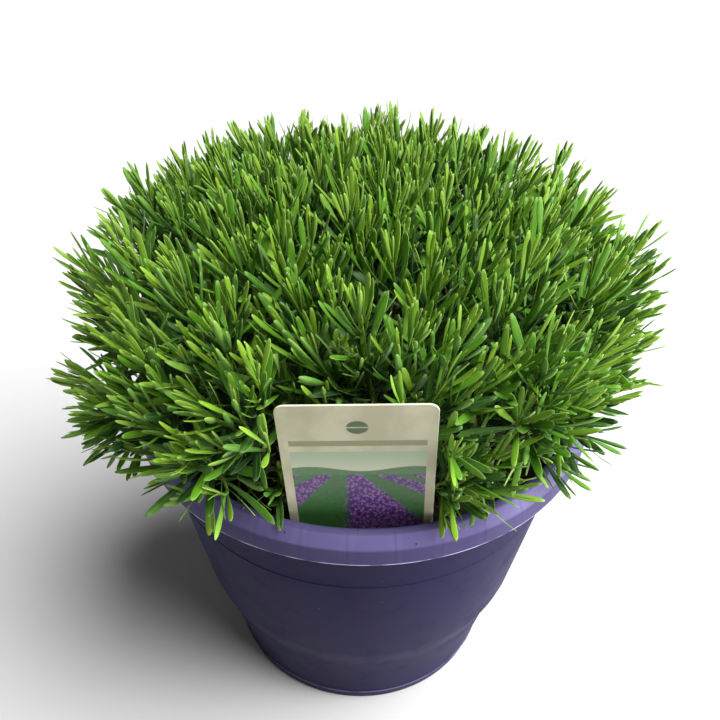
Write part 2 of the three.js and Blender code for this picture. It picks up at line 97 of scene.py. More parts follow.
# Soil, with its crumbs and the specks on the rim
SOIL_EDGE_HEIGHT = 217
SOIL_MIDDLE_HEIGHT = 226
SOIL_SHOULDER_RADIUS = 112
SOIL_SHOULDER_HEIGHT = 220.5
SOIL_GAP = 0.35
SOIL_SEED = 41
CRUMB_REACH = 133
SPECK_SPAN = (141.5, 148.5)
SPECK_BROWN = (0.03, 0.02, 0.015)

# Label, and the parts of its print as shares of its width and height
CARD_WIDTH = 78
CARD_HEIGHT = 108
CARD_THICKNESS = 1
CARD_CORNER = 5
CARD_BEVEL = 0.22
STAKE_WIDTH = 17
STAKE_LENGTH = 52
STAKE_TAPER = 12
CARD_LEAN = 9 * DEGREE
CARD_TILT = 2 * DEGREE
CARD_FOOT_Y = -127.6
CARD_FOOT_HEIGHT = 221
CARD_TOP = CARD_FOOT_HEIGHT + CARD_HEIGHT
PRINT_MARGIN = 0.065
PRINT_SOFT = 0.004
BAR_SPAN = (0.72, 0.755)
PICTURE_SPAN = (0.03, 0.675)
HORIZON = 0.5
MARK_PLACE = (0.5, 0.85)
MARK_SIZE = (0.07, 0.045)

# Bush: the surface that the stems' crowns lie on, and where it is cut back or trails
STEM_COUNT = sum(1 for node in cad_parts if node.startswith("stem_"))
SEED = 1
TURN_JITTER = 0.2
BUSH_RADIUS = 167.5
BUSH_WIDEST = POT_HEIGHT + 80
BUSH_RISE = 59
BUSH_DROP = 90
BUSH_LAST_ANGLE = 120 * DEGREE
AREA_STEPS = 240
LOW_FROM = 88 * DEGREE
TRIM_TURN = -60 * DEGREE
TRIM = 0.16
FRONT_FALL = 24
TRAIL_TURN = -155 * DEGREE
TRAIL_FALL = 24
TRAIL_REACH = 24
TRAIL_LEAN = 14 * DEGREE
HELD_RAISE = 330

# Stems: root, fork and upright shoots
STEM_SEED = 1000
ROOT_SPREAD = 112
ROOT_DEPTH = 20
ROOT_ROOM = 14
STEM_COLLAR = 6
FORK_SHARE = 0.4
FORK_LIFT = 0.1
BRANCH_STARTS = (0.0, 0.04, 0.3)
SHOOT_SPREAD = 18
SHOOT_GROWTH = -7
SHOOT_GROWTH_SPAN = 18
MIDDLE_SPREAD = 5
RING_SPREAD = 28
EXTRA_GROWTH = (-12, 7)
LEAN_SHARE = 0.5
LIFT_FROM = (112, 132)
LIFT_TO = (156, 168)
RIM_ROOM = 9
CROWN_ROOM = 15
TIP_ROOM = 7
NECK_ROOM = 5
TIP_LEAF_LENGTH = 27
TUFT = 13
TRUNK_RADII = (2.3, 1.5)
SHOOT_RADII = (1.15, 0.45)

# Side shoots low in the bush, and sprigs that reach over the rim; their leans are in degrees
LOW_SHOOTS_FROM = 38 * DEGREE
OUTER_FROM = 60 * DEGREE
LOW_ASIDE = 26
LOW_REACH = (14, 34)
LOW_HEIGHT = (10, 26)
LOW_RISE = 45
LOW_LEAN = (20, 58)
SPRIGS_FROM = 96 * DEGREE
SPRIGS_PAST = -0.78
SPRIG_SWING = 0.22
SPRIG_REACH = (162, 178)
SPRIG_HEIGHT = (4, 24)
SPRIG_FALL = 20
SPRIG_LEAN = (58, 82)
SPRIG_DROOP = 26

# Dry leaves on the soil
FALLEN_SEED = 77
FALLEN_REACH = 128
DRY_AGE = 1.6

# Stage: the lights' places and widths and the end of the view in metres, the rest in millimetres
FLOOR_HALF = 9000
FLOOR_DROP = 0.3
KEY_PLACE = (0.42, -0.10, 1.0)
SIDE_PLACE = (1.15, -0.35, 0.75)
SIDE_WIDTH = 0.8
LOW_PLACE = (0.95, -0.22, 0.12)
LOW_WIDTH = 0.3
SENSOR_WIDTH = 36
VIEW_END = 60
VIEW_SHIFT = -2.2
VIEW_RISE = 6.3


# Shared arithmetic

def chance(index, salt):
    """A repeatable draw between 0 and 1: the fraction of a large multiple of a sine."""
    wave = math.sin(index * 12.9898 + salt * 78.233 + SEED) * 43758.5453
    return wave - math.floor(wave)


def smoothstep(value, low, high):
    """0 up to low, 1 from high, and 3s^2 - 2s^3 of the share s between them."""
    share = np.clip((value - low) / (high - low), 0, 1)
    return share * share * (3 - 2 * share)


def unit(vectors):
    """Vectors divided by their lengths."""
    return vectors / np.maximum(np.linalg.norm(vectors, axis=-1, keepdims=True), 1e-12)


def polar(radius, turn, height):
    """Points r cos a, r sin a, z from their distance to the axis, their angle round it and their height."""
    return np.stack([radius * np.cos(turn), radius * np.sin(turn), height + 0 * turn], axis=-1)


def turned(points, turn):
    """Points turned about the upright axis: x cos a - y sin a, x sin a + y cos a, z."""
    cos, sin = np.cos(turn), np.sin(turn)
    x, y, z = points[..., 0], points[..., 1], points[..., 2]
    return np.stack([x * cos - y * sin, x * sin + y * cos, z + 0 * cos], axis=-1)


def bezier(first, second, third, fourth, steps):
    """Cubic curves through rows of four points: (1-t)^3 a + 3t(1-t)^2 b + 3t^2(1-t) c + t^3 d."""
    t = np.linspace(0, 1, steps)[None, :, None]
    first, second, third, fourth = (array[:, None] for array in (first, second, third, fourth))
    return ((1 - t) ** 3 * first + 3 * t * (1 - t) ** 2 * second
            + 3 * t ** 2 * (1 - t) * third + t ** 3 * fourth)


def lattice_values(cells, seed):
    """A number between 0 and 1 for each whole-number cell, by mixing the bits of its coordinates."""
    cells = cells.astype(np.int64)
    mixed = cells[..., 0] * 374761393 + cells[..., 1] * 668265263 + cells[..., 2] * 1440662683
    mixed = (mixed + seed * 974634777) & 0xFFFFFFFF
    mixed = ((mixed ^ (mixed >> 13)) * 1274126177) & 0xFFFFFFFF
    return ((mixed ^ (mixed >> 16)) & 0xFFFFFF) / 0xFFFFFF


def noise(points, size, seed):
    """Smooth noise from -1 to 1: cell corner values blended by 3s^2 - 2s^3 along each axis."""
    scaled = points / size
    cell = np.floor(scaled)
    share = scaled - cell
    share = share * share * (3 - 2 * share)
    total = np.zeros(points.shape[:-1])
    for corner in np.ndindex(2, 2, 2):
        step = np.array(corner)
        weight = np.prod(np.where(step == 1, share, 1 - share), axis=-1)
        total = total + weight * lattice_values(cell + step, seed)
    return 2 * total - 1


# Meshes

def signed_volume(points, faces):
    """Volume inside closed faces: a sixth of the sum of a . (b x c) over a fan of triangles."""
    total = 0.0
    for group in faces:
        first = points[group[:, 0]]
        for corner in range(1, group.shape[1] - 1):
            second, third = points[group[:, corner]], points[group[:, corner + 1]]
            total += np.sum(first * np.cross(second, third))
    return total / 6


def add_mesh(name, points, faces, materials, slots=None, smooth=True, attributes=None, corner_uv=None):
    """A mesh object from an array of points in millimetres and arrays of faces of equal corner counts."""
    if signed_volume(points, faces) < 0:
        faces = [group[:, ::-1] for group in faces]
        corner_uv = [group[:, ::-1] for group in corner_uv] if corner_uv else None
    corners = np.concatenate([group.ravel() for group in faces])
    counts = np.concatenate([np.full(len(group), group.shape[1]) for group in faces])
    starts = np.concatenate([[0], np.cumsum(counts)[:-1]])
    mesh = bpy.data.meshes.new(name)
    mesh.vertices.add(len(points))
    mesh.vertices.foreach_set("co", (points * MM).astype(np.float32).ravel())
    mesh.loops.add(len(corners))
    mesh.loops.foreach_set("vertex_index", corners.astype(np.int32))
    mesh.polygons.add(len(counts))
    mesh.polygons.foreach_set("loop_start", starts.astype(np.int32))
    mesh.polygons.foreach_set("use_smooth", np.full(len(counts), smooth))
    for material in materials:
        mesh.materials.append(material)
    if slots is not None:
        mesh.polygons.foreach_set("material_index", np.concatenate(slots).astype(np.int32))
    for title, values in (attributes or {}).items():
        kind = "FLOAT_COLOR" if values.ndim == 2 else "FLOAT"
        layer = mesh.attributes.new(title, kind, "POINT")
        layer.data.foreach_set("color" if values.ndim == 2 else "value", values.astype(np.float32).ravel())
    if corner_uv is not None:
        layer = mesh.uv_layers.new(name="UVMap")
        flat = np.concatenate([group.reshape(-1, 2) for group in corner_uv])
        layer.data.foreach_set("uv", flat.astype(np.float32).ravel())
    mesh.update(calc_edges=True)
    mesh.validate()
    piece = bpy.data.objects.new(name, mesh)
    bpy.context.collection.objects.link(piece)
    return piece


def settle(piece, slot, *nodes):
    """Says what a piece rides on and which nodes it stands for; the slot that names its finish is not used.
    """
    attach(piece, "root")
    if nodes:
        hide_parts(*nodes)
    return piece


def rounded(corners, steps=4):
    """Replaces each corner of a profile by a quadratic curve between points one radius away from it."""
    places = np.array([corner[:2] for corner in corners], float)
    made = [places[:1]]
    for i in range(1, len(places) - 1):
        before, here, after = places[i - 1:i + 2]
        radius = corners[i][2]
        back, ahead = before - here, after - here
        reach_back = min(radius, 0.45 * np.linalg.norm(back))
        reach_ahead = min(radius, 0.45 * np.linalg.norm(ahead))
        if radius == 0:
            made.append(here[None])
            continue
        start, end = here + unit(back) * reach_back, here + unit(ahead) * reach_ahead
        t = np.linspace(0, 1, steps)[:, None]
        made.append((1 - t) ** 2 * start + 2 * t * (1 - t) * here + t ** 2 * end)
    made.append(places[-1:])
    return np.concatenate(made)


def repeat_faces(faces, corners, count):
    """The faces of one shape for each of its copies, with the numbers of their corners moved on."""
    return (faces[None] + corners * np.arange(count)[:, None, None]).reshape(-1, faces.shape[1])


def revolve(profile, steps):
    """Turns a profile that starts and ends on the axis: (r cos a, r sin a, z), with a fan at each pole."""
    turn = np.arange(steps) * FULL_TURN / steps
    inner = profile[1:-1]
    rings = polar(inner[:, 0][:, None], turn, inner[:, 1][:, None])
    poles = np.array([[0, 0, profile[0, 1]], [0, 0, profile[-1, 1]]])
    points = np.concatenate([rings.reshape(-1, 3), poles])
    index = np.arange(len(inner) * steps).reshape(len(inner), steps)
    ahead = np.roll(index, -1, axis=1)
    quads = np.stack([index[:-1], ahead[:-1], ahead[1:], index[1:]], axis=-1).reshape(-1, 4)
    low = np.stack([np.full(steps, len(points) - 2), ahead[0], index[0]], axis=-1)
    high = np.stack([np.full(steps, len(points) - 1), index[-1], ahead[-1]], axis=-1)
    return points, [quads, np.concatenate([low, high])]


def tubes(paths, radii, around, sides):
    """Round tubes along paths: each point plus r (cos a side + sin a face), closed by a flat end face."""
    count, length = paths.shape[:2]
    tangent = unit(np.gradient(paths, axis=1))
    face = unit(np.cross(tangent, around[:, None]))
    side = np.cross(face, tangent)
    turn = np.arange(sides) * FULL_TURN / sides
    ring = np.cos(turn)[:, None] * side[:, :, None] + np.sin(turn)[:, None] * face[:, :, None]
    points = paths[:, :, None] + radii[:, :, None, None] * ring
    index = np.arange(count * length * sides).reshape(count, length, sides)
    return points.reshape(-1, 3), tube_faces(index)


def tube_faces(index):
    """Quads between the rings of an index array of tubes, with a face of all sides at each end."""
    ahead = np.roll(index, -1, axis=2)
    quads = np.stack([index[:, :-1], ahead[:, :-1], ahead[:, 1:], index[:, 1:]], axis=-1).reshape(-1, 4)
    ends = np.concatenate([index[:, 0, ::-1], index[:, -1]])
    return [quads, ends]


# Materials

class Wire:
    """A socket of a material's nodes, on which arithmetic adds Math nodes."""

    def __init__(self, finish, socket):
        self.finish = finish
        self.socket = socket

    def math(self, operation, *others):
        """A Math node on this wire and the others."""
        inputs = dict(enumerate((self,) + others))
        return self.finish.node("ShaderNodeMath", {"operation": operation}, inputs)

    def __add__(self, other):
        return self.math("ADD", other)

    def __sub__(self, other):
        return self.math("SUBTRACT", other)

    def __rsub__(self, other):
        return self.finish.node("ShaderNodeMath", {"operation": "SUBTRACT"}, {0: other, 1: self})

    def __mul__(self, other):
        return self.math("MULTIPLY", other)

    def __truediv__(self, other):
        return self.math("DIVIDE", other)

    __radd__ = __add__
    __rmul__ = __mul__

    def smooth(self, low, high):
        """0 at low and 1 at high, with a soft start and end."""
        return self.finish.node(
            "ShaderNodeMapRange", {"interpolation_type": "SMOOTHSTEP"},
            {"Value": self, "From Min": low, "From Max": high})

    def between(self, low, high, soft):
        """1 from low to high, falling to 0 over a soft margin on both sides."""
        return self.smooth(low - soft, low) * (1 - self.smooth(high, high + soft))


class Finish:
    """A material of its own, with one Principled shader."""

    def __init__(self, name, roughness=0.5):
        self.material = bpy.data.materials.new(name)
        self.material.use_nodes = True
        self.nodes = self.material.node_tree.nodes
        self.links = self.material.node_tree.links
        self.shader = self.nodes["Principled BSDF"]
        self.shader.inputs["Roughness"].default_value = roughness

    def node(self, kind, settings=None, inputs=None, output=0):
        """Any node: its settings come first, then the values or links of its sockets."""
        made = self.nodes.new(kind)
        for key, value in (settings or {}).items():
            if key == "stops":
                self.set_stops(made.color_ramp, value)
            else:
                setattr(made, key, value)
        for key, value in (inputs or {}).items():
            self.feed(made.inputs[key], value)
        return Wire(self, made.outputs[output])

    def feed(self, socket, value):
        """Links a wire to a socket, or sets the socket's own value, with full alpha for a colour."""
        if isinstance(value, Wire):
            self.links.new(value.socket, socket)
        elif isinstance(value, tuple) and len(value) == 3 and socket.type == "RGBA":
            socket.default_value = (*value, 1)
        else:
            socket.default_value = value

    def set_stops(self, ramp, stops):
        """Gives a ramp its places and colours, eased from one to the next."""
        ramp.interpolation = "EASE"
        while len(ramp.elements) < len(stops):
            ramp.elements.new(0.5)
        for element, (place, colour) in zip(ramp.elements, stops):
            element.position = place
            element.color = (*colour, 1)

    def set(self, **inputs):
        """Feeds the shader's sockets, named in lower case with underscores."""
        for key, value in inputs.items():
            self.feed(self.shader.inputs[key.replace("_", " ").title().replace("Ior", "IOR")], value)

    def place(self):
        """Object coordinates, in metres, as one wire and as its three parts."""
        coordinates = self.node("ShaderNodeTexCoord", output="Object")
        return coordinates, self.split(coordinates)

    def split(self, source, kind="ShaderNodeSeparateXYZ"):
        """The three parts of a vector, or of a colour when the kind is that of colours."""
        parts = self.node(kind, None, {0: source})
        return [Wire(self, socket) for socket in parts.socket.node.outputs]

    def attribute(self, name, output="Fac"):
        """A number or colour that the mesh holds at each of its points."""
        return self.node("ShaderNodeAttribute", {"attribute_name": name}, output=output)

    def mix(self, factor, first, second):
        """The first colour where the factor is 0 and the second where it is 1."""
        return self.node("ShaderNodeMix", {"data_type": "RGBA"}, {0: factor, 6: first, 7: second}, output=2)

    def noise(self, vector, scale, detail=2, roughness=0.5):
        """Soft noise from 0 to 1."""
        return self.node("ShaderNodeTexNoise", None, {
            "Vector": vector, "Scale": scale, "Detail": detail, "Roughness": roughness})

    def cells(self, vector, scale):
        """Distance to the nearest of many points, one at random in each cell."""
        return self.node("ShaderNodeTexVoronoi", None, {"Vector": vector, "Scale": scale}, output="Distance")

    def bump(self, height, strength, distance):
        """A bumped normal whose distance is in millimetres."""
        return self.node("ShaderNodeBump", None, {
            "Strength": strength, "Distance": distance * MM, "Height": height}, output="Normal")


def darker(colour, share):
    """A colour with each part cut to a share of itself."""
    return tuple(share * part for part in colour)


def pot_plastic(colour):
    """Matte moulded violet plastic: sink lines over the rim's ribs, dusty patches, scuffs and flash, with
    painted shade below the rim, inside the lip and in the sink lines, and painted highlights beside the sink
    lines and along the base band.
    """
    finish = Finish("violet_pot_plastic")
    place, (x, y, z) = finish.place()
    deep, lip_shade = darker(colour, 0.82), darker(colour, 0.45)
    pale = tuple(min(1, 1.25 * part + 0.02) for part in colour)
    # Painted shade: the colour that the wall takes below the rim
    shaded = tuple(share * part for share, part in zip((0.06, 0.05, 0.15), colour))
    # The last colour serves the flash and the painted highlight on the base band
    dusty, scuffed, flash_and_highlight = (0.30, 0.27, 0.38), (0.42, 0.38, 0.6), (0.62, 0.58, 0.82)
    patches = finish.noise(place, 14, 4, 0.55)
    grain = finish.noise(place, 1600, 2, 0.6)
    scuffs = finish.noise(place, 210, 6, 0.7).smooth(0.66, 0.76)
    dust = finish.noise(place, 45, 5, 0.65).smooth(0.45, 0.8)

    # What the mould leaves: lines over the ribs, drawn darker as painted shade with a pale painted highlight
    # beside each, and flash where its parts met
    step = (y.math("ARCTAN2", x) + GUSSET_TURN) * (GUSSETS / FULL_TURN)
    off_line = (step.math("FRACT") - 0.5).math("ABSOLUTE")
    on_rim = z.smooth((SKIRT_BOTTOM - 1) * MM, (SKIRT_BOTTOM + 1) * MM)
    sink = off_line.smooth(0.45, 0.5) * on_rim
    swell_highlight = (off_line - 0.4).math("ABSOLUTE").smooth(0.09, 0.02) * on_rim
    flash = z.between((SKIRT_BOTTOM - 0.2) * MM, (SKIRT_BOTTOM + 0.5) * MM, 0.4 * MM)
    # Painted highlight: a faint pale line along the top of the base band, where its edge catches the light
    band_highlight = z.between((BASE_BAND_HEIGHT - 0.1) * MM, (BASE_BAND_HEIGHT + 0.5) * MM, 0.4 * MM)
    broken = finish.noise(place, 60, 3).smooth(0.3, 0.55)
    edge = flash * broken + band_highlight * broken * 0.12

    # Painted shade: darker inside the lip and below the rim, where leaves and rim keep the light off
    reach = (x * x + y * y).math("SQRT")
    outside = reach.smooth((BROW_RADIUS - 0.6) * MM, (BROW_RADIUS + 0.4) * MM)
    lip = on_rim * (1 - outside) * (0.3 + patches * 0.4)
    lit = on_rim * 0.45 + z.smooth((SKIRT_TOP - 1.5) * MM, (SKIRT_TOP + 1) * MM) * 0.55

    tone = finish.mix(patches, deep, pale)
    for factor, layer in ((dust * 0.08, dusty), (sink * 0.2, deep), (swell_highlight * 0.22, pale), (lip, lip_shade),
                          (0.92 * (1 - lit), shaded), (scuffs * 0.16, scuffed), (edge * 0.8, flash_and_highlight)):
        tone = finish.mix(factor, tone, layer)
    height = grain * 0.4 + patches * 0.6 - sink * 0.5 + scuffs * 0.3
    finish.set(base_color=tone, roughness=0.46 + dust * 0.16 + grain * 0.1,
               normal=finish.bump(height, 0.35, 0.25), specular_ior_level=0.07)
    return finish.material


def soil_finish():
    """Damp peat: near black crumbs with brown fibres and a few pale grains."""
    finish = Finish("peat_soil", 0.95)
    place, _ = finish.place()
    wet, damp = (0.012, 0.009, 0.007), (0.045, 0.03, 0.02)
    grain, fibre = (0.085, 0.055, 0.032), (0.16, 0.11, 0.07)
    broad = finish.noise(place, 60, 4, 0.6)
    fine = finish.noise(place, 420, 5, 0.7)
    fibres = 1 - finish.cells(place, 300).smooth(0.02, 0.09)
    tone = finish.mix(broad, wet, damp)
    tone = finish.mix(fine.smooth(0.5, 0.75) * 0.6, tone, grain)
    tone = finish.mix(fibres, tone, fibre)
    finish.set(base_color=tone, normal=finish.bump(fine + broad * 0.5, 0.8, 1.2))
    return finish.material


def crumb_finish():
    """Loose bits on the soil: each takes its own brown from the crumb's own draw."""
    finish = Finish("soil_crumbs", 0.9)
    place, _ = finish.place()
    fine = finish.noise(place, 700, 4, 0.7)
    browns = (
        (0.0, (0.010, 0.007, 0.005)), (0.55, (0.035, 0.022, 0.014)),
        (0.86, (0.12, 0.075, 0.04)), (0.97, (0.42, 0.37, 0.29)))
    tone = finish.node("ShaderNodeValToRGB", {"stops": browns}, {0: finish.attribute("own")})
    tone = finish.mix(fine * 0.5, tone, (0.02, 0.014, 0.01))
    finish.set(base_color=tone, normal=finish.bump(fine, 0.7, 0.5))
    return finish.material


def leaf_finish(young, grown, old):
    """Lavender leaf: yellow-green when young, dark when old, paler under and on the rib, and paler at the
    edge and tip, partly its own paler margin and partly painted highlight.
    """
    finish = Finish("lavender_leaf")
    place, _ = finish.place()
    brown, straw = (0.19, 0.115, 0.05), (0.36, 0.27, 0.14)
    rib_green, under_green, margin_and_highlight = (0.22, 0.34, 0.08), (0.13, 0.235, 0.075), (0.33, 0.43, 0.19)
    age, along, own = finish.split(finish.attribute("leaf", "Color"), "ShaderNodeSeparateColor")
    under = finish.attribute("leaf", "Alpha")
    across = finish.attribute("across")
    mottle = finish.noise(place, 220, 3, 0.6)
    down = finish.noise(place, 1500, 2, 0.6)
    shade = age + (mottle - 0.5) * 0.25 + (own - 0.5) * 0.3 + (0.45 - along) * 0.22
    greens = ((0.0, young), (0.45, grown), (0.85, old), (0.98, darker(old, 0.72)))
    tone = finish.node("ShaderNodeValToRGB", {"stops": greens}, {0: shade})
    tone = finish.mix(age.smooth(1.3, 1.5), tone, finish.mix(own, brown, straw))
    rib = (1 - across.smooth(0.03, 0.16)) * (1 - under)
    # Paler along the margin and at the tip: partly the leaf's own paler edge, partly painted highlight
    edge = across.smooth(0.84, 1.0) + along.smooth(0.9, 1.0) * 0.5
    for factor, layer in ((rib * 0.22, rib_green), (under * 0.5, under_green), (edge * 0.27, margin_and_highlight)):
        tone = finish.mix(factor, tone, layer)
    finish.set(base_color=tone, roughness=0.5 + mottle * 0.2, normal=finish.bump(down + mottle, 0.3, 0.3),
               specular_ior_level=0.3, sheen_weight=0.03, sheen_roughness=0.35)
    return finish.material


def bark_finish(young):
    """Stem skin: green near the tips, grey-brown and cracked along its length near the soil."""
    finish = Finish("lavender_stem", 0.7)
    place, (x, y, z) = finish.place()
    crack, bark = (0.06, 0.038, 0.022), (0.24, 0.17, 0.11)
    stretched = finish.node("ShaderNodeCombineXYZ", None, {0: x, 1: y, 2: z * 0.12})
    cracks = finish.noise(stretched, 900, 4, 0.7)
    green = finish.mix(finish.noise(place, 160, 3), darker(young, 0.55), young)
    woody = finish.attribute("across").smooth(0.25, 0.75)
    tone = finish.mix(woody, green, finish.mix(cracks, crack, bark))
    finish.set(base_color=tone, normal=finish.bump(cracks, 0.6, 0.4))
    return finish.material


def card_stock():
    """The card's bare sides: pale plastic with a few specks of soil near its foot."""
    finish = Finish("label_stock", 0.4)
    place, (_, _, z) = finish.place()
    cloudy = finish.noise(place, 40, 3)
    specks = finish.noise(place, 520, 2, 0.6).smooth(0.70, 0.74)
    low = 1 - z.smooth((CARD_FOOT_HEIGHT + 4) * MM, (CARD_FOOT_HEIGHT + 45) * MM)
    tone = finish.mix(cloudy, (0.60, 0.585, 0.45), (0.70, 0.69, 0.56))
    tone = finish.mix(specks * low, tone, SPECK_BROWN)
    finish.set(base_color=tone, normal=finish.bump(cloudy, 0.1, 0.3))
    return finish.material


def printed_field(finish, place, u, v):
    """A plain picture in UV: rows of violet and green that run to a horizon, low hills and a pale sky."""
    rough = finish.noise(place, 38, 4, 0.65)
    petals = finish.cells(place, 46)
    horizon = HORIZON + (rough - 0.5) * 0.02
    below = (horizon - v).math("MAXIMUM", 0.012)
    ray = (u - 0.42) / (below + 0.09)
    row = ((ray * 3.1 + (rough - 0.5) * 0.5).math("SINE") * 0.5 + 0.5).smooth(0.30, 0.62)
    flowers = finish.mix(petals.smooth(0.15, 0.65), (0.23, 0.10, 0.30), (0.045, 0.018, 0.10))
    flowers = finish.mix(rough.smooth(0.5, 0.7) * 0.6, flowers, (0.36, 0.19, 0.42))
    leaves = finish.mix(rough, (0.015, 0.065, 0.015), (0.06, 0.17, 0.045))
    hills = finish.mix(rough, (0.03, 0.10, 0.03), (0.09, 0.2, 0.07))
    hill_line = HORIZON + 0.045 + (u * 9).math("SINE") * 0.018
    sky = finish.mix(v.smooth(0.5, 0.68), (0.47, 0.46, 0.33), (0.27, 0.36, 0.24))
    picture = finish.mix((hill_line - v).smooth(-0.004, 0.004), sky, hills)
    picture = finish.mix((horizon - v).smooth(-0.003, 0.003), picture, finish.mix(row, leaves, flowers))
    return picture, rough


def card_print():
    """The printed front: a cream card with a leaf mark and an olive bar over a plain picture of a field."""
    finish = Finish("label_print")
    place = finish.node("ShaderNodeTexCoord", output="UV")
    u, v, _ = finish.split(place)
    olive, leaf_green = (0.20, 0.205, 0.10), (0.05, 0.09, 0.03)
    picture, rough = printed_field(finish, place, u, v)
    within = u.between(PRINT_MARGIN, 1 - PRINT_MARGIN, PRINT_SOFT)
    bar = within * v.between(*BAR_SPAN, PRINT_SOFT)
    x, y = (u - MARK_PLACE[0]) / MARK_SIZE[0], (v - MARK_PLACE[1]) / MARK_SIZE[1]
    leaf_mark = 1 - (x * x + y * y).smooth(0.85, 1.1)
    vein = 1 - (v - MARK_PLACE[1]).math("ABSOLUTE").smooth(0.002, 0.006)
    specks = finish.noise(place, 150, 2, 0.6).smooth(0.71, 0.74) * (1 - v.smooth(0.2, 0.5))
    stains = finish.noise(place, 4, 3, 0.5).smooth(0.35, 0.65)
    tone = finish.mix(stains, (0.36, 0.335, 0.215), (0.46, 0.435, 0.30))
    for factor, layer in ((bar, olive), (leaf_mark * (1 - vein), leaf_green),
                          (within * v.between(*PICTURE_SPAN, PRINT_SOFT), picture), (specks, SPECK_BROWN)):
        tone = finish.mix(factor, tone, layer)
    finish.set(base_color=tone, roughness=0.3 + rough * 0.12)
    return finish.material


def floor_finish(colour):
    """Plain pale floor with a faint unevenness."""
    finish = Finish("pale_floor", 0.85)
    place, _ = finish.place()
    finish.set(base_color=finish.mix(finish.noise(place, 3, 2), colour, darker(colour, 0.985)))
    return finish.material


# Pot

def shoulder_corners(inset, steps=6):
    """The soft shoulder between foot and wall: a cubic curve through four control points."""
    foot, wall = SHOULDER_FOOT - [inset, 0], SHOULDER_WALL - [inset, 0]
    controls = foot, foot + SHOULDER_PULLS[0], wall + SHOULDER_PULLS[1], wall
    curve = bezier(*(point[None] for point in controls), steps)[0]
    return [(radius, height, 0) for radius, height in curve]


def pot_profile():
    """The pot's whole outline from the middle of its underside over the rim to the middle of its floor,
    as corners with their radius, height and rounding."""
    return rounded([
        (0, 0, 0), (CHANNEL_INNER_RADIUS, 0, 0.6), (CHANNEL_INNER_RADIUS + CHANNEL_SLOPE, CHANNEL_RISE, 0.6),
        (CHANNEL_OUTER_RADIUS - CHANNEL_SLOPE, CHANNEL_RISE, 0.6), (CHANNEL_OUTER_RADIUS, 0, 0.5),
        (BASE_RADIUS, 0, 1.0), (BASE_BAND_RADIUS, BASE_BAND_HEIGHT, 0.35),
        (FOOT_RADIUS, BASE_BAND_HEIGHT + 0.7, 0.3),
        *shoulder_corners(0),
        (SHELF_RADIUS, SHELF_HEIGHT - SHELF_LEDGE, 0.3), (SHELF_RADIUS - SHELF_LEDGE, SHELF_HEIGHT, 0.3),
        (NECK_RADIUS, SKIRT_TOP, 1.2), (RIM_RADIUS - SKIRT_DRAFT - WALL, SKIRT_TOP - 0.7, 1.5),
        (RIM_RADIUS - WALL, SKIRT_BOTTOM, 0.5), (RIM_RADIUS, SKIRT_BOTTOM, 0.45),
        (RIM_RADIUS - SKIRT_DRAFT, SKIRT_TOP, 0.9), (BROW_RADIUS, POT_HEIGHT - BROW_DROP, 1.3),
        (LIP_RADIUS, POT_HEIGHT, 1.1), (LIP_INNER_RADIUS, POT_HEIGHT - 1.2, 1.0),
        (NECK_RADIUS - WALL, SKIRT_TOP, 3.0), (SHELF_RADIUS - SHELF_LEDGE - WALL, SHELF_HEIGHT, 3.0),
        *reversed(shoulder_corners(WALL)),
        (CHANNEL_OUTER_RADIUS + CHANNEL_SLOPE, CHANNEL_RISE + 2 * FLOOR, 3.0),
        (CHANNEL_OUTER_RADIUS - CHANNEL_SLOPE, CHANNEL_RISE + FLOOR, 2.0),
        (CHANNEL_INNER_RADIUS + CHANNEL_SLOPE, CHANNEL_RISE + FLOOR, 0.6),
        (CHANNEL_INNER_RADIUS, FLOOR, 0.6), (0, FLOOR, 0),
    ])


def drill(piece, ring, radius, count):
    """Cuts a ring of round upright holes through the floor of a piece."""
    low, high = DRILL_SPAN
    profile = np.array([[0, low], [radius, low], [radius, high], [0, high]], float)
    points, faces = revolve(profile, 28)
    turn = (np.arange(count) + 0.5) * FULL_TURN / count
    many = (points[None] + polar(ring, turn, 0)[:, None]).reshape(-1, 3)
    copies = [repeat_faces(group, len(points), count) for group in faces]
    cutter = add_mesh("drain_cutter", many, copies, [])
    cut = piece.modifiers.new("drain", "BOOLEAN")
    cut.operation = "DIFFERENCE"
    cut.solver = "EXACT"
    cut.object = cutter
    drilled = bpy.data.meshes.new_from_object(piece.evaluated_get(bpy.context.evaluated_depsgraph_get()))
    piece.modifiers.clear()
    piece.data = drilled
    bpy.data.objects.remove(cutter)


def gussets():
    """The thin ribs in the hollow of the rim: boxes at equal turns, sunk a little into both walls."""
    half = GUSSET_THICKNESS / 2
    levels = (SKIRT_BOTTOM + 3, RIM_RADIUS - WALL), (SKIRT_TOP + 3.5, GUSSET_TOP_RADIUS)
    box = np.array([[radius, side, height] for height, far in levels for radius, side in (
        (GUSSET_INNER_RADIUS, -half), (far, -half), (far, half), (GUSSET_INNER_RADIUS, half))])
    turn = np.arange(GUSSETS) * FULL_TURN / GUSSETS - GUSSET_TURN
    points = turned(box, turn[:, None])
    sides = np.array([[0, 3, 2, 1], [4, 5, 6, 7], [0, 1, 5, 4], [1, 2, 6, 5], [2, 3, 7, 6], [3, 0, 4, 7]])
    return points.reshape(-1, 3), [repeat_faces(sides, len(box), GUSSETS)]


# Soil

def soil_height(radius):
    """A low mound: two straight slopes that meet at the shoulder radius."""
    inner = SOIL_MIDDLE_HEIGHT + (SOIL_SHOULDER_HEIGHT - SOIL_MIDDLE_HEIGHT) * radius / SOIL_SHOULDER_RADIUS
    share = (radius - SOIL_SHOULDER_RADIUS) / (NECK_RADIUS - WALL - SOIL_SHOULDER_RADIUS)
    outer = SOIL_SHOULDER_HEIGHT + (SOIL_EDGE_HEIGHT - SOIL_SHOULDER_HEIGHT) * share
    return np.where(radius < SOIL_SHOULDER_RADIUS, inner, outer)


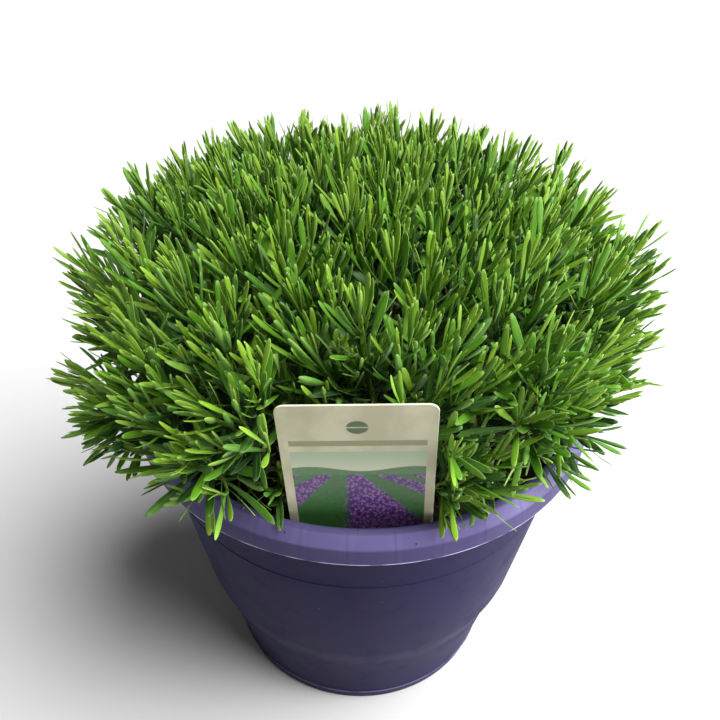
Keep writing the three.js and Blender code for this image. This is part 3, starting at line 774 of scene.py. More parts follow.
def soil_surface(rings=96, steps=380):
    """The mound plus three sizes of noise, and plain sides and a bottom that follow the pot's inside."""
    inset = WALL + SOIL_GAP
    bottom = CHANNEL_RISE + FLOOR + SOIL_GAP
    shelf_radius = SHELF_RADIUS - SOLID_LEDGE
    slope = (NECK_RADIUS - shelf_radius) / (SKIRT_TOP - SHELF_HEIGHT)
    edge = NECK_RADIUS - inset - (SKIRT_TOP - SOIL_EDGE_HEIGHT) * slope
    under = [
        (0, FLOOR + SOIL_GAP), (CHANNEL_INNER_RADIUS, FLOOR + SOIL_GAP),
        (CHANNEL_INNER_RADIUS + CHANNEL_SLOPE, bottom), (CHANNEL_OUTER_RADIUS - CHANNEL_SLOPE, bottom),
        (CHANNEL_OUTER_RADIUS + CHANNEL_SLOPE - SOIL_GAP, bottom + FLOOR),
        SHOULDER_FOOT - [inset, 0], SHOULDER_WALL - [inset, 0], (shelf_radius - inset, SHELF_HEIGHT),
    ]
    top = np.linspace(edge, 0, rings)
    profile = np.concatenate([np.array(under, float), np.stack([top, soil_height(top)], axis=-1)])
    points, faces = revolve(profile, steps)
    on_top = points[:, 2] > SOIL_EDGE_HEIGHT - 1
    rough = 1.7 * noise(points, 9, 1) + 1.1 * noise(points, 3.6, 2) + 0.6 * noise(points, 1.8, 3)
    edge_share = smoothstep(edge - np.hypot(points[:, 0], points[:, 1]), 0, 4)
    points[:, 2] += np.where(on_top, rough * edge_share, 0)
    return points, faces


GOLDEN_RATIO = (1 + math.sqrt(5)) / 2
GOLDEN_RECTANGLE = np.array([(s, t * GOLDEN_RATIO, 0) for s in (-1, 1) for t in (-1, 1)])
ICOSAHEDRON = unit(np.concatenate([np.roll(GOLDEN_RECTANGLE, i, axis=1) for i in range(3)]))


def hull_faces(points):
    """Triangles of a small convex set: each three corners whose plane has every other corner behind it."""
    first, second, third = np.array(list(combinations(range(len(points)), 3))).T
    normal = np.cross(points[second] - points[first], points[third] - points[first])
    reach = np.einsum("fpk,fk->fp", points[None] - points[first][:, None], normal)
    behind, ahead = np.all(reach < 1e-6, axis=1), np.all(reach > -1e-6, axis=1)
    faces = np.stack([first, np.where(behind, second, third), np.where(behind, third, second)], axis=-1)
    return faces[behind | ahead]


def crumbs(rng, places, sizes):
    """Crumbs: twenty-sided lumps whose corners are pushed in and out, flattened and turned at random."""
    count, corners = len(places), len(ICOSAHEDRON)
    lump = ICOSAHEDRON[None] * (0.75 + 0.5 * rng.random((count, corners, 1)))
    lump = lump * (0.55 + 0.75 * rng.random((count, 1, 3)))
    lump = turned(lump, rng.random(count)[:, None] * FULL_TURN)
    points = lump * sizes[:, None, None] + places[:, None]
    faces = repeat_faces(hull_faces(ICOSAHEDRON), corners, count)
    return points.reshape(-1, 3), [faces], np.repeat(rng.random(count), corners)


def crumb_places(rng, count, specks):
    """Places and sizes of crumbs strewn evenly by area over the soil, and of specks on the rim's slope."""
    reach = CRUMB_REACH * np.sqrt(rng.random(count))
    places = polar(reach, rng.uniform(0, FULL_TURN, count), soil_height(reach) + 0.9)
    sizes = 0.7 + 1.9 * rng.random(count) ** 3
    turn = rng.uniform(0, FULL_TURN, specks)
    reach = np.interp(rng.random(specks), [0, 1], SPECK_SPAN)
    drop = np.interp(reach, [LIP_RADIUS, BROW_RADIUS, RIM_RADIUS - SKIRT_DRAFT],
                     [0, BROW_DROP, POT_HEIGHT - SKIRT_TOP])
    on_rim = polar(reach, turn, POT_HEIGHT - drop + 0.1)
    speck_sizes = 0.35 + 0.5 * rng.random(specks) ** 2
    return np.concatenate([places, on_rim]), np.concatenate([sizes, speck_sizes])


# Label

def card_outline():
    """The card's corners, rounded above, with its stake tapering to a point below."""
    half, stake, taper = CARD_WIDTH / 2, STAKE_WIDTH / 2, STAKE_TAPER - STAKE_LENGTH
    quarter = np.linspace(0, math.pi / 2, 7)
    round_corner = np.stack([np.cos(quarter), np.sin(quarter)], axis=-1)
    right = np.array([half, CARD_HEIGHT]) - CARD_CORNER + CARD_CORNER * round_corner
    left = right[::-1] * [-1, 1]
    below = np.array([[-half, CARD_CORNER], [-stake, 0], [-stake, taper], [0, -STAKE_LENGTH],
                      [stake, taper], [stake, 0], [half, CARD_CORNER]])
    return np.concatenate([right, left, below])


def card_place(points):
    """Turns the card in its own plane, leans it forwards and stands it on its foot point."""
    tilt, lean = -CARD_TILT, CARD_LEAN
    x = points[:, 0] * math.cos(tilt) + points[:, 2] * math.sin(tilt)
    z = -points[:, 0] * math.sin(tilt) + points[:, 2] * math.cos(tilt)
    y = points[:, 1]
    return np.stack([x, y * math.cos(lean) - z * math.sin(lean) + CARD_FOOT_Y,
                     y * math.sin(lean) + z * math.cos(lean) + CARD_FOOT_HEIGHT], axis=-1)


def card_mesh():
    """The card's outline twice, one thickness apart, joined by its narrow sides, with the outline as UV."""
    outline = card_outline()
    count = len(outline)
    front = np.stack([outline[:, 0], np.full(count, -CARD_THICKNESS / 2), outline[:, 1]], axis=-1)
    points = card_place(np.concatenate([front, front * [1, -1, 1]]))
    index = np.arange(count)
    ahead = np.roll(index, -1)
    sides = np.stack([index, ahead, ahead + count, index + count], axis=-1)
    faces = [index[None, ::-1], index[None] + count, sides]
    slots = [np.array([0]), np.array([1]), np.ones(count, int)]
    uv = np.tile(outline / [CARD_WIDTH, CARD_HEIGHT] + [0.5, 0], (2, 1))
    return points, faces, slots, [uv[group] for group in faces]


def card_back(height):
    """The y at which the back of the leaning card stands at a height."""
    return CARD_FOOT_Y - (height - CARD_FOOT_HEIGHT) * math.tan(CARD_LEAN) + CARD_THICKNESS


def around_label(point, room):
    """Moves a point in front of the card to one side of it, or behind its middle."""
    moved = point.copy()
    in_front = point[1] < card_back(point[2]) + room and point[2] < CARD_TOP + room
    if in_front and abs(point[0]) < CARD_WIDTH / 3:
        moved[1] = card_back(point[2]) + room
    elif in_front:
        moved[0] = math.copysign(max(abs(point[0]), CARD_WIDTH / 2 + room), point[0])
    return moved


def behind_card(points):
    """Moves points that are level with the card and in front of it to just behind it."""
    x, y, z = points[..., 0], points[..., 1], points[..., 2]
    level = (np.abs(x) < CARD_WIDTH / 2 + 2) & (z < CARD_TOP + 3)
    moved = points.copy()
    moved[..., 1] = np.where(level, np.maximum(y, card_back(z) + 1.6), y)
    return moved


# Bush

def bush_profile(angle):
    """Distance from the axis and height of the bush's surface at an angle from straight up."""
    upper = angle < math.pi / 2
    reach = math.sin(angle) if upper else math.sqrt(math.sin(angle))
    return BUSH_RADIUS * reach, BUSH_WIDEST + (BUSH_RISE if upper else BUSH_DROP) * math.cos(angle)


def equal_area_angles(count):
    """Angles that divide the bush's surface into bands of equal area, by summing thin rings."""
    edges = np.array([bush_profile(BUSH_LAST_ANGLE * i / AREA_STEPS) for i in range(AREA_STEPS + 1)])
    slant = np.hypot(*np.diff(edges, axis=0).T)
    sums = np.concatenate([[0], np.cumsum(slant * (edges[1:, 0] + edges[:-1, 0]) / 2)])
    wanted = sums[-1] * (np.arange(count) + 0.5) / count
    return np.interp(wanted, sums, np.arange(AREA_STEPS + 1)) * BUSH_LAST_ANGLE / AREA_STEPS


def over_rim(points):
    """Lifts points near the rim to a height over it."""
    reach = np.hypot(points[..., 0], points[..., 1])
    near = smoothstep(reach, *LIFT_FROM) * (1 - smoothstep(reach, *LIFT_TO))
    lifted = points.copy()
    lifted[..., 2] += np.maximum(0, POT_HEIGHT + RIM_ROOM - points[..., 2]) * near
    return lifted


def raised(axis):
    """A shoot's direction with most of its lean to the front taken out, as shoots turn to the light."""
    return unit(axis * [1, 0.35 if axis[1] < 0 else 1, 1])


class StemPlan:
    """One leafy stem's places: the same rule as its solid's, with more shoots than the solid's three."""

    def __init__(self, index, angle, extra_shoots, low_shoots):
        turn = index * GOLDEN_ANGLE + TURN_JITTER * (chance(index, 1) - 0.5)
        self.index, self.angle = index, angle
        self.outward = np.array([math.cos(turn), math.sin(turn), 0])
        self.around = np.array([-math.sin(turn), math.cos(turn), 0])
        low = float(smoothstep(angle, LOW_FROM, BUSH_LAST_ANGLE))
        self.trail = low * float(smoothstep(math.cos(turn - TRAIL_TURN), 0.6, 0.95))
        self.place_crown(turn, low)
        rise = self.crown - self.root
        fork = self.root + rise * FORK_SHARE + [0, 0, FORK_LIFT * np.linalg.norm(rise)]
        self.fork = around_label(over_rim(fork), NECK_ROOM)
        self.rng = np.random.default_rng(STEM_SEED + index)
        ends = [self.shoot_end(*spot) for spot in self.shoot_spots(extra_shoots)]
        upright_count = len(ends)
        if angle > LOW_SHOOTS_FROM:
            ends += [self.low_end() for _ in range(low_shoots)]
        if angle > SPRIGS_FROM and self.outward[1] > SPRIGS_PAST:
            ends += [self.sprig_end() for _ in range(3 if self.trail > 0.3 else 2)]
        self.tips, self.axes = map(np.array, zip(*ends))
        self.low_count = len(ends) - upright_count

    def place_crown(self, turn, low):
        """Sets the places of the crown and the root, and how far the crown leans outwards."""
        round_reach, round_height = bush_profile(self.angle)
        reach = round_reach * (1 - TRIM * low * max(0, math.cos(turn - TRIM_TURN)) ** 2)
        height = round_height - FRONT_FALL * low * max(0, -self.outward[1]) ** 2
        free = self.outward * (reach + TRAIL_REACH * self.trail)
        free[2] = height - TRAIL_FALL * self.trail
        self.crown = around_label(free, CROWN_ROOM)
        root_reach = ROOT_SPREAD * min(1, reach / BUSH_RADIUS + max(0, self.angle - math.pi / 2) * 0.1)
        self.root = self.outward * root_reach
        self.root[1] = max(self.root[1], CARD_FOOT_Y + ROOT_ROOM)
        self.root[2] = soil_height(root_reach) - ROOT_DEPTH
        crown_reach = math.hypot(*self.crown[:2])
        held_back = min(1, crown_reach / math.hypot(*free[:2]))
        inwards = min(1, crown_reach / BUSH_RADIUS)
        roof = BUSH_WIDEST + BUSH_RISE * math.sqrt(1 - inwards * inwards)
        self.crown[2] = max(self.crown[2], min(roof, self.crown[2] + HELD_RAISE * (1 - held_back)))
        self.lean = (self.angle * LEAN_SHARE + TRAIL_LEAN * self.trail) * held_back ** 5

    def shoot_spots(self, extra):
        """Spread, bearing and growth of the upright shoots: the solid's three, a middle one and a ring."""
        spots = [(SHOOT_SPREAD, (i + chance(self.index, 2)) * FULL_TURN / 3,
                  SHOOT_GROWTH + SHOOT_GROWTH_SPAN * chance(self.index, 3 + i)) for i in range(3)]
        first, draw = spots[0][1], self.rng.uniform
        for i in range(extra):
            spread, bearing = (MIDDLE_SPREAD, first) if i == 0 else (
                RING_SPREAD, first + (i - 0.5) * FULL_TURN / max(1, extra - 1))
            spots.append((spread + 5 * draw(-1, 1), bearing + 0.3 * draw(-1, 1), draw(*EXTRA_GROWTH)))
        return spots

    def shoot_end(self, spread, bearing, growth):
        """The tip and direction of an upright shoot, from a spot on the bush's surface and its growth."""
        steep = self.angle * 0.9
        slope = self.outward * math.cos(steep) - [0, 0, math.sin(steep)]
        tip = self.crown + slope * spread * math.cos(bearing) + self.around * spread * math.sin(bearing)
        lean = self.lean + 0.2 * math.cos(bearing)
        axis = unit(self.outward * math.sin(lean) + [0, 0, math.cos(lean)]
                    + 0.25 * math.sin(bearing) * self.around)
        if spread != SHOOT_SPREAD:
            axis = raised(axis)
        return around_label(tip + axis * growth, TIP_ROOM), axis

    def low_end(self):
        """The tip and direction of a side shoot inside the bush, higher at the back and in the middle."""
        draw = self.rng.uniform
        aside = draw(-LOW_ASIDE, LOW_ASIDE)
        outer = self.angle > OUTER_FROM
        high = draw(0, 1) * (max(0.3, 0.5 + 0.7 * self.outward[1]) if outer else 1.5)
        tip = self.root + self.outward * draw(*LOW_REACH) + self.around * aside
        tip[2] = POT_HEIGHT + draw(*LOW_HEIGHT) + LOW_RISE * high
        lean = draw(*LOW_LEAN) * DEGREE
        axis = unit(self.outward * math.sin(lean) + self.around * aside / 60 + [0, 0, math.cos(lean)])
        return around_label(tip, TIP_ROOM), raised(axis)

    def sprig_end(self):
        """The tip and direction of a long side shoot that reaches out over the rim."""
        draw = self.rng.uniform
        swing = draw(-SPRIG_SWING, SPRIG_SWING)
        heading = self.outward * math.cos(swing) + self.around * math.sin(swing)
        tip = heading * draw(*SPRIG_REACH)
        tip[2] = POT_HEIGHT + draw(*SPRIG_HEIGHT) - SPRIG_FALL * self.trail
        lean = (draw(*SPRIG_LEAN) + SPRIG_DROOP * self.trail) * DEGREE
        axis = heading * math.sin(lean) + np.array([0, 0, math.cos(lean)])
        return around_label(tip, TIP_ROOM), axis


def stem_curves(plan):
    """The woody stem from its root to the fork, and a curve from near the fork to each tip."""
    collar = plan.root + [0, 0, ROOT_DEPTH + STEM_COLLAR]
    neck = plan.tips[0] - plan.axes[0] * TIP_LEAF_LENGTH
    reach = np.linalg.norm(plan.fork - collar)
    controls = (collar, collar + [0, 0, 0.45 * reach],
                plan.fork - unit(neck - plan.fork) * 0.3 * reach, plan.fork)
    trunk = bezier(*(point[None] for point in controls), 9)[0]
    trunk = np.concatenate([plan.root[None], trunk])
    count, high = len(plan.tips), len(plan.tips) - plan.low_count
    share = np.concatenate([BRANCH_STARTS, plan.rng.uniform(0.02, 0.45, count)])[:high, None]
    below = plan.rng.uniform(0.1, 0.9, (plan.low_count, 1))
    starts = np.concatenate([plan.fork + (neck - plan.fork) * share,
                             plan.fork + (collar - plan.fork) * below])
    length = np.linalg.norm(plan.tips - starts, axis=1, keepdims=True)
    wander = plan.rng.normal(0, 0.05, (count, 3)) * length
    apex = plan.tips - plan.axes * TUFT
    shoots = bezier(starts, starts + unit(apex - starts) * 0.3 * length + wander,
                    apex - plan.axes * 0.42 * length, apex, 12)
    return trunk, behind_card(over_rim(shoots))


# Leaves of one shoot, pair by pair from the tip down: distance from the tip, length, half width,
# splay at the root and at the tip in degrees, and age from 0, just opened, to 1
LEAF_PAIRS = np.array([
    (0.8, 14, 0.7, 7, 3, 0.00),
    (3.5, 21, 1.05, 14, 8, 0.05),
    (8.0, 26, 1.45, 21, 12, 0.15),
    (14.0, 30, 1.8, 28, 16, 0.30),
    (21.0, 34, 2.1, 36, 23, 0.46),
    (29.0, 37, 2.3, 44, 33, 0.64),
    (38.5, 38, 2.3, 51, 44, 0.80),
    (49.0, 36, 2.2, 57, 55, 0.94),
    (61.0, 33, 2.0, 63, 66, 1.05),
    (74.0, 30, 1.8, 69, 76, 1.15),
])
AXIS_STEP = 2

# One leaf: its rings as shares of its length, its width at each, and the corners of its section,
# of which the last is the rib on its underside
LEAF_RINGS = np.array([0, 0.2, 0.48, 0.76, 0.93, 1.0])
LEAF_WIDTHS = np.array([0.28, 0.44, 0.84, 1.0, 0.74, 0.28])
LEAF_SECTION = np.array([(-1, -0.12), (-0.8, 0.22), (0, 0.04), (0.8, 0.22), (1, -0.12), (0, -0.42)])
LEAF_UNDERSIDE = np.array([0, 0, 0, 0, 0, 1.0])
LEAF_THICKNESS = 0.62
ARC_STEPS = 24


def leaves(root, axis, away, length, half, splay, bend, twist):
    """Leaves as closed shells: a hexagonal section carried along an arc whose angle from the shoot
    runs from the splay to the bend, wide past its middle, blunt, with a groove above and a rib below."""
    start, turning = splay[:, None], (bend - splay)[:, None]
    fine_angle = (start + turning * np.linspace(0, 1, ARC_STEPS + 1))[:, :-1]
    foot = np.zeros((len(root), 1))
    forward, sideways = (
        np.concatenate([foot, np.cumsum(wave(fine_angle), axis=1) / ARC_STEPS], axis=1)
        for wave in (np.cos, np.sin))
    pick = np.round(LEAF_RINGS * ARC_STEPS).astype(int)
    centre = (root[:, None] + length[:, None, None] * (
        forward[:, pick, None] * axis[:, None] + sideways[:, pick, None] * away[:, None]))
    angle = (start + turning * LEAF_RINGS)[..., None]
    cos, sin = np.cos(angle), np.sin(angle)
    along = cos * axis[:, None] + sin * away[:, None]
    upper = sin * axis[:, None] - cos * away[:, None]
    edge = np.cross(along, upper)
    roll = (twist[:, None] * LEAF_RINGS)[..., None]
    cos, sin = np.cos(roll), np.sin(roll)
    edge, upper = cos * edge + sin * upper, cos * upper - sin * edge
    width = half[:, None, None, None] * LEAF_WIDTHS[:, None, None]
    thick = LEAF_THICKNESS * np.sqrt(LEAF_WIDTHS)[:, None, None]
    return (centre[:, :, None] + width * LEAF_SECTION[:, :1] * edge[:, :, None]
            + thick * LEAF_SECTION[:, 1:] * upper[:, :, None])


def leaf_data(count, age, own):
    """Per point: age, share along the leaf, the leaf's own draw and underside, and distance across."""
    shape = (count, len(LEAF_RINGS), len(LEAF_SECTION))
    fields = (age[:, None, None], LEAF_RINGS[:, None], own[:, None, None], LEAF_UNDERSIDE)
    data = np.stack([np.broadcast_to(field, shape) for field in fields], axis=-1)
    across = np.broadcast_to(np.abs(LEAF_SECTION[:, 0]), shape)
    return data.reshape(-1, 4), across.reshape(-1)


def leaf_clear(points):
    """Whether each leaf has no point in the rim, in the soil or in front of the card."""
    x, y, z = points[..., 0], points[..., 1], points[..., 2]
    reach = np.hypot(x, y)
    inside = reach <= NECK_RADIUS - WALL - 2
    in_rim = ~inside & (reach < RIM_RADIUS + 1) & (z < POT_HEIGHT + 1)
    in_soil = inside & (z < soil_height(reach) + 0.5)
    level = (np.abs(x) <= CARD_WIDTH / 2 + 1.5) & (z <= CARD_TOP + 14)
    past_card = level & (y < card_back(z) + 0.8)
    return ~np.any(in_rim | in_soil | past_card, axis=(1, 2))


def along_shoots(shoots, from_tip, drop):
    """The place on each shoot at each distance below its tip, for a row of distances for each shoot."""
    places = np.empty(drop.shape + (3,))
    for i, part in np.ndindex(len(shoots), 3):
        places[i, :, part] = np.interp(drop[i], from_tip[i, ::-1], shoots[i, ::-1, part])
    return places


def shoot_leaves(plan, shoots, size):
    """All leaves of a stem: opposite pairs on each shoot, each pair a quarter turn from the last."""
    rng = plan.rng
    count, pairs = len(shoots), len(LEAF_PAIRS)
    low = np.arange(count) >= count - plan.low_count
    steps = np.linalg.norm(np.diff(shoots, axis=1), axis=2)
    from_tip = np.concatenate([np.cumsum(steps[:, ::-1], axis=1)[:, ::-1], np.zeros((count, 1))], axis=1)
    vigour = rng.uniform(0.86, 1.14, (count, 1))
    drop = LEAF_PAIRS[:, 0] * vigour + rng.uniform(-0.8, 0.8, (count, pairs))
    drop = drop + np.where(low[:, None], 0.12 * LEAF_PAIRS[:, 0] - 2.5, 0)
    keep = (drop < from_tip[:, :1] - 3) & ~(low[:, None] & (np.arange(pairs) < 2))
    drop = np.clip(drop, 0.3, None)

    roots = along_shoots(shoots, from_tip, drop)
    ahead = along_shoots(shoots, from_tip, drop - AXIS_STEP)
    axis = unit(np.where(drop[..., None] > AXIS_STEP, ahead - roots, plan.axes[:, None]))
    side = unit(np.cross(axis, plan.around))
    face = np.cross(axis, side)
    turn = (rng.uniform(0, FULL_TURN, (count, 1)) + np.arange(pairs) * math.pi / 2
            + rng.normal(0, 0.22, (count, pairs)))
    turn = (turn[..., None] + [0, math.pi])[..., None]
    away = np.cos(turn) * side[:, :, None] + np.sin(turn) * face[:, :, None]

    shape = (count, pairs, 2)
    roots, axis, keep = (np.broadcast_to(field[:, :, None], shape + field.shape[2:])
                         for field in (roots, axis, keep))
    _, lengths, halves, splays, bends, ages = LEAF_PAIRS.T[:, None, :, None]
    length = lengths * rng.uniform(0.82, 1.12, shape) * vigour[..., None] * size
    half = halves * rng.uniform(0.88, 1.12, shape) * size
    splay = (splays + rng.normal(0, 5, shape)) * DEGREE
    bend = (bends + rng.normal(0, 1, shape) * (7 + 13 * ages)) * DEGREE
    twist = rng.normal(0, 0.22, shape)
    # Painted shade: the leaves of the low side shoots are made older, and so darker, as if in the shade of
    # the bush
    shaded = np.where(low, 0.32, 0)[:, None, None]
    age = ages + shaded + rng.normal(0, 0.07, shape) + 0.1 * rng.normal(0, 1, (count, 1, 1))

    fields = (roots, axis, away, length, half, splay, bend, twist, np.clip(age, 0, 1.1))
    *places, age = (field[keep] for field in fields)
    points = leaves(*places)
    clear = leaf_clear(points)
    points = points[clear]
    data, across = leaf_data(len(points), age[clear], rng.random(len(points)))
    index = np.arange(points[..., 0].size).reshape(points.shape[:3])
    return points.reshape(-1, 3), tube_faces(index), data, across


def stem_mesh(plan, size):
    """One leafy stem: the woody stem, its shoots and their leaves as one set of points and faces."""
    trunk, shoots = stem_curves(plan)
    knobs = 1 + 0.06 * np.sin(np.arange(len(trunk)) * 2.1)
    woods = (
        (trunk[None], np.linspace(*TRUNK_RADII, len(trunk))[None] * knobs, (1, 0.7), 8),
        (shoots, np.tile(np.linspace(*SHOOT_RADII, shoots.shape[1]), (len(shoots), 1)), (0.65, 0.0), 5),
    )
    parts = []
    for paths, radii, (wood_low, wood_high), sides in woods:
        count, length = paths.shape[:2]
        points, faces = tubes(paths, radii, np.broadcast_to(plan.around, (count, 3)), sides)
        wood = np.tile(np.repeat(np.linspace(wood_low, wood_high, length), sides), count)
        parts.append((points, faces, np.zeros((len(points), 4)), wood, 0))
    parts.append((*shoot_leaves(plan, shoots, size), 1))
    return join_parts(parts)


def join_parts(parts):
    """Joins parts of points, faces, point data and material numbers into one set of arrays."""
    offset, all_faces, slots = 0, [], []
    for points, faces, _, _, slot in parts:
        for group in faces:
            all_faces.append(group + offset)
            slots.append(np.full(len(group), slot))
        offset += len(points)
    points, data, across = (np.concatenate([part[i] for part in parts]) for i in (0, 2, 3))
    return points, all_faces, slots, {"leaf": data, "across": across}


def fallen_leaves(rng, count):
    """Dry leaves that lie on the soil: flat, turned at random and a little curled."""
    reach = FALLEN_REACH * np.sqrt(rng.random(count))
    root = polar(reach, rng.uniform(0, FULL_TURN, count), soil_height(reach) + 2.4)
    away = polar(1, rng.uniform(0, FULL_TURN, count), rng.uniform(-0.05, 0.12, count))
    upright = np.tile([0.0, 0.0, 1.0], (count, 1))
    points = leaves(root, upright, unit(away), rng.uniform(14, 28, count), rng.uniform(1.1, 1.9, count),
                    rng.uniform(80, 92, count) * DEGREE, rng.uniform(70, 100, count) * DEGREE,
                    rng.normal(0, 0.8, count))
    points = points[leaf_clear(points)]
    data, across = leaf_data(len(points), np.full(len(points), DRY_AGE), rng.random(len(points)))
    index = np.arange(points[..., 0].size).reshape(points.shape[:3])
    return points.reshape(-1, 3), tube_faces(index), data, across


# Settings

class PotSettings(bpy.types.PropertyGroup):
    colour: bpy.props.FloatVectorProperty(
        name="Plastic", description="Colour of the pot's plastic", subtype="COLOR", size=3,
        min=0, max=1, default=(0.089, 0.073, 0.187))
    steps: bpy.props.IntProperty(
        name="Steps", description="Faces round the pot", default=288, min=36, max=720)
    drain_radius: bpy.props.FloatProperty(
        name="Drain hole", description="Radius of a drain hole", default=5 * MM, unit="LENGTH")


class SoilSettings(bpy.types.PropertyGroup):
    crumbs: bpy.props.IntProperty(
        name="Crumbs", description="Loose crumbs on the soil", default=1500, min=0)
    rim_specks: bpy.props.IntProperty(
        name="Specks", description="Specks of soil on the rim", default=46, min=0)


class BushSettings(bpy.types.PropertyGroup):
    extra_shoots: bpy.props.IntProperty(
        name="More shoots", description="Shoots of each stem besides its solid's three", default=6, min=0)
    low_shoots: bpy.props.IntProperty(
        name="Low shoots", description="Side shoots low on each outer stem", default=7, min=0)
    leaf_size: bpy.props.FloatProperty(
        name="Leaf size", description="Scale of the leaves", default=1.0, min=0.3, max=2)
    fallen: bpy.props.IntProperty(
        name="Fallen leaves", description="Dry leaves on the soil", default=90, min=0)
    young: bpy.props.FloatVectorProperty(
        name="Young leaf", description="Colour of a leaf that has just opened", subtype="COLOR", size=3,
        min=0, max=1, default=(0.160, 0.298, 0.013))
    grown: bpy.props.FloatVectorProperty(
        name="Grown leaf", description="Colour of a grown leaf", subtype="COLOR", size=3,
        min=0, max=1, default=(0.070, 0.210, 0.004))
    old: bpy.props.FloatVectorProperty(
        name="Old leaf", description="Colour of an old leaf low on the shoot", subtype="COLOR", size=3,
        min=0, max=1, default=(0.0100, 0.054, 0.003))


class StageSettings(bpy.types.PropertyGroup):
    floor: bpy.props.FloatVectorProperty(
        name="Floor", description="Colour of the floor", subtype="COLOR", size=3,
        min=0, max=1, default=(0.46, 0.46, 0.46))
    lens: bpy.props.FloatProperty(
        name="Lens", description="Focal length of the camera", default=41, unit="CAMERA")
    distance: bpy.props.FloatProperty(
        name="Distance", description="From the camera to the rim's middle", default=0.546, unit="LENGTH")
    pitch: bpy.props.FloatProperty(
        name="Pitch", description="How far the camera looks down", default=37.1 * DEGREE, subtype="ANGLE")
    roll: bpy.props.FloatProperty(
        name="Roll", description="Turn of the camera about its view", default=0.7 * DEGREE, subtype="ANGLE")
    key_strength: bpy.props.FloatProperty(
        name="Key", description="Strength of the soft light from high on the right", default=7.3, min=0)
    key_spread: bpy.props.FloatProperty(
        name="Softness", description="Angle that the high light fills", default=52 * DEGREE, subtype="ANGLE")
    side_power: bpy.props.FloatProperty(
        name="Side", description="Power of the large light at the right", default=12, unit="POWER")
    low_power: bpy.props.FloatProperty(
        name="Low", description="Power of the small light near the floor at the right",
        default=11, unit="POWER")
    sky: bpy.props.FloatProperty(
        name="Sky", description="Strength of the even light all round", default=0.14, min=0)


# Operators

class LAVENDER_OT_pot(bpy.types.Operator):
    """Make the pot with its drain holes and the ribs in its rim"""
    bl_idname = "lavender.pot"
    bl_label = "Pot"

    def execute(self, context):
        settings = context.scene.lavender_pot
        material = pot_plastic(tuple(settings.colour))
        points, faces = revolve(pot_profile(), settings.steps)
        pot = add_mesh("violet_pot", points, faces, [material])
        ring = (CHANNEL_INNER_RADIUS + CHANNEL_OUTER_RADIUS) / 2
        drill(pot, ring, settings.drain_radius / MM, DRAIN_HOLES)
        settle(pot, "pot_plastic", "pot")
        points, faces = gussets()
        settle(add_mesh("rim_ribs", points, faces, [material], smooth=False), "pot_plastic")
        return {"FINISHED"}


class LAVENDER_OT_soil(bpy.types.Operator):
    """Make the soil and its loose crumbs, with a few on the rim"""
    bl_idname = "lavender.soil"
    bl_label = "Soil"

    def execute(self, context):
        settings = context.scene.lavender_soil
        rng = np.random.default_rng(SOIL_SEED)
        points, faces = soil_surface()
        settle(add_mesh("peat", points, faces, [soil_finish()]), "soil", "soil")
        places, sizes = crumb_places(rng, settings.crumbs, settings.rim_specks)
        points, faces, own = crumbs(rng, places, sizes)
        materials = [crumb_finish()]
        piece = add_mesh("soil_crumbs", points, faces, materials, smooth=False, attributes={"own": own})
        settle(piece, "soil")
        return {"FINISHED"}


class LAVENDER_OT_label(bpy.types.Operator):
    """Make the plant label that stands in the soil"""
    bl_idname = "lavender.label"
    bl_label = "Label"

    def execute(self, context):
        points, faces, slots, uv = card_mesh()
        materials = [card_print(), card_stock()]
        piece = add_mesh("plant_label", points, faces, materials, slots, smooth=False, corner_uv=uv)
        bevel = piece.modifiers.new("worn_edge", "BEVEL")
        bevel.width = CARD_BEVEL * MM
        bevel.segments = 2
        bevel.limit_method = "ANGLE"
        bevel.material = 1
        settle(piece, "label_card", "label")
        return {"FINISHED"}


class LAVENDER_OT_bush(bpy.types.Operator):
    """Make the leafy stems, each in the place of its solid, and the dry leaves on the soil"""
    bl_idname = "lavender.bush"
    bl_label = "Leafy stems"

    def execute(self, context):
        settings = context.scene.lavender_bush
        young, grown, old = (tuple(getattr(settings, key)) for key in ("young", "grown", "old"))
        bark, leaf = bark_finish(young), leaf_finish(young, grown, old)
        for index, angle in enumerate(equal_area_angles(STEM_COUNT)):
            plan = StemPlan(index, float(angle), settings.extra_shoots, settings.low_shoots)
            points, faces, slots, attributes = stem_mesh(plan, settings.leaf_size)
            number = f"{index + 1:02d}"
            piece = add_mesh(
                f"lavender_{number}", points, faces, [bark, leaf], slots, attributes=attributes)
            settle(piece, "leafy_stem", f"stem_{number}")
        rng = np.random.default_rng(FALLEN_SEED)
        points, faces, data, across = fallen_leaves(rng, settings.fallen)
        attributes = {"leaf": data, "across": across}
        settle(add_mesh("fallen_leaves", points, faces, [leaf], attributes=attributes), "leafy_stem")
        return {"FINISHED"}


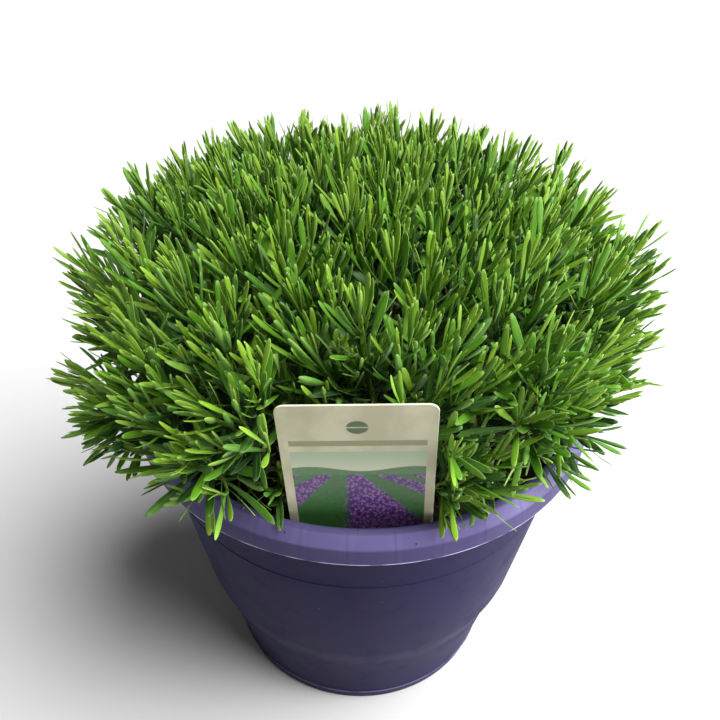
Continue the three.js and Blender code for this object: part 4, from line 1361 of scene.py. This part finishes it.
class LAVENDER_OT_stage(bpy.types.Operator):
    """Make the floor, the lights and the camera"""
    bl_idname = "lavender.stage"
    bl_label = "Stage"

    def execute(self, context):
        settings = context.scene.lavender_stage
        signs = np.array([[-1, -1], [1, -1], [1, 1], [-1, 1]])
        corners = np.column_stack([signs * FLOOR_HALF, np.full(4, -FLOOR_DROP)])
        material = floor_finish(tuple(settings.floor))
        floor = add_mesh("pale_floor", corners, [np.array([[0, 1, 2, 3]])], [material])
        self.light("key_light", "SUN", KEY_PLACE, settings.key_strength, settings.key_spread)
        self.light("side_light", "AREA", SIDE_PLACE, settings.side_power, SIDE_WIDTH)
        self.light("low_light", "AREA", LOW_PLACE, settings.low_power, LOW_WIDTH)
        world = bpy.data.worlds.new("even_light")
        world.use_nodes = True
        background = world.node_tree.nodes["Background"]
        background.inputs["Color"].default_value = (1, 1, 1, 1)
        background.inputs["Strength"].default_value = settings.sky
        context.scene.world = world
        context.scene.view_settings.view_transform = "Standard"
        self.camera(context, settings)
        return {"FINISHED"}

    def light(self, name, kind, place, power, size):
        """A lamp that faces the rim's middle: its size is an angle for the sun and a width for an area."""
        data = bpy.data.lights.new(name, kind)
        setattr(data, "angle" if kind == "SUN" else "size", size)
        data.energy = power
        lamp = bpy.data.objects.new(name, data)
        lamp.location = place
        aim = np.array([0, 0, POT_HEIGHT * MM]) - np.array(place)
        lamp.rotation_euler = aim_rotation(aim, 0)
        bpy.context.collection.objects.link(lamp)

    def camera(self, context, settings):
        """The photo's view: towards a point just over the rim's middle, from the fitted distance."""
        data = bpy.data.cameras.new("camera")
        data.lens = settings.lens
        data.sensor_width = SENSOR_WIDTH
        data.dof.use_dof = False
        data.clip_end = VIEW_END
        eye = bpy.data.objects.new("camera", data)
        view = np.array([0, math.cos(settings.pitch), -math.sin(settings.pitch)])
        target = np.array([VIEW_SHIFT, 0, POT_HEIGHT + VIEW_RISE]) * MM
        eye.location = target - view * settings.distance
        eye.rotation_euler = aim_rotation(view, settings.roll)
        context.collection.objects.link(eye)
        context.scene.camera = eye


def aim_rotation(view, roll):
    """The turn that points a lamp or camera along a view and rolls it about that view."""
    forward = unit(np.asarray(view, float))
    right = unit(np.cross(forward, [0, 0, 1]))
    up = np.cross(right, forward)
    right, up = (math.cos(roll) * right + math.sin(roll) * up, math.cos(roll) * up - math.sin(roll) * right)
    return Matrix(np.stack([right, up, -forward], axis=1).tolist()).to_euler()


class LAVENDER_PT_panel(bpy.types.Panel):
    bl_idname = "LAVENDER_PT_panel"
    bl_label = "Potted lavender"
    bl_space_type = "VIEW_3D"
    bl_region_type = "UI"
    bl_category = "Lavender"

    def draw(self, context):
        for operator, group in OPERATORS:
            self.layout.operator(operator.bl_idname)
            settings = getattr(context.scene, group, None)
            for key in getattr(type(settings), "__annotations__", {}):
                self.layout.prop(settings, key)


SETTINGS = {
    "lavender_pot": PotSettings,
    "lavender_soil": SoilSettings,
    "lavender_bush": BushSettings,
    "lavender_stage": StageSettings,
}
OPERATORS = (
    (LAVENDER_OT_pot, "lavender_pot"),
    (LAVENDER_OT_soil, "lavender_soil"),
    (LAVENDER_OT_label, ""),
    (LAVENDER_OT_bush, "lavender_bush"),
    (LAVENDER_OT_stage, "lavender_stage"),
)


def register():
    for name, group in SETTINGS.items():
        bpy.utils.register_class(group)
        setattr(bpy.types.Scene, name, bpy.props.PointerProperty(type=group))
    for operator, _ in OPERATORS:
        bpy.utils.register_class(operator)
    bpy.utils.register_class(LAVENDER_PT_panel)


def unregister():
    bpy.utils.unregister_class(LAVENDER_PT_panel)
    for operator, _ in reversed(OPERATORS):
        bpy.utils.unregister_class(operator)
    for name, group in reversed(SETTINGS.items()):
        delattr(bpy.types.Scene, name)
        bpy.utils.unregister_class(group)


def main():
    """Makes the stage and every piece."""
    register()
    bpy.ops.lavender.stage()
    bpy.ops.lavender.pot()
    bpy.ops.lavender.soil()
    bpy.ops.lavender.label()
    bpy.ops.lavender.bush()


if __name__ == "__main__":
    main()
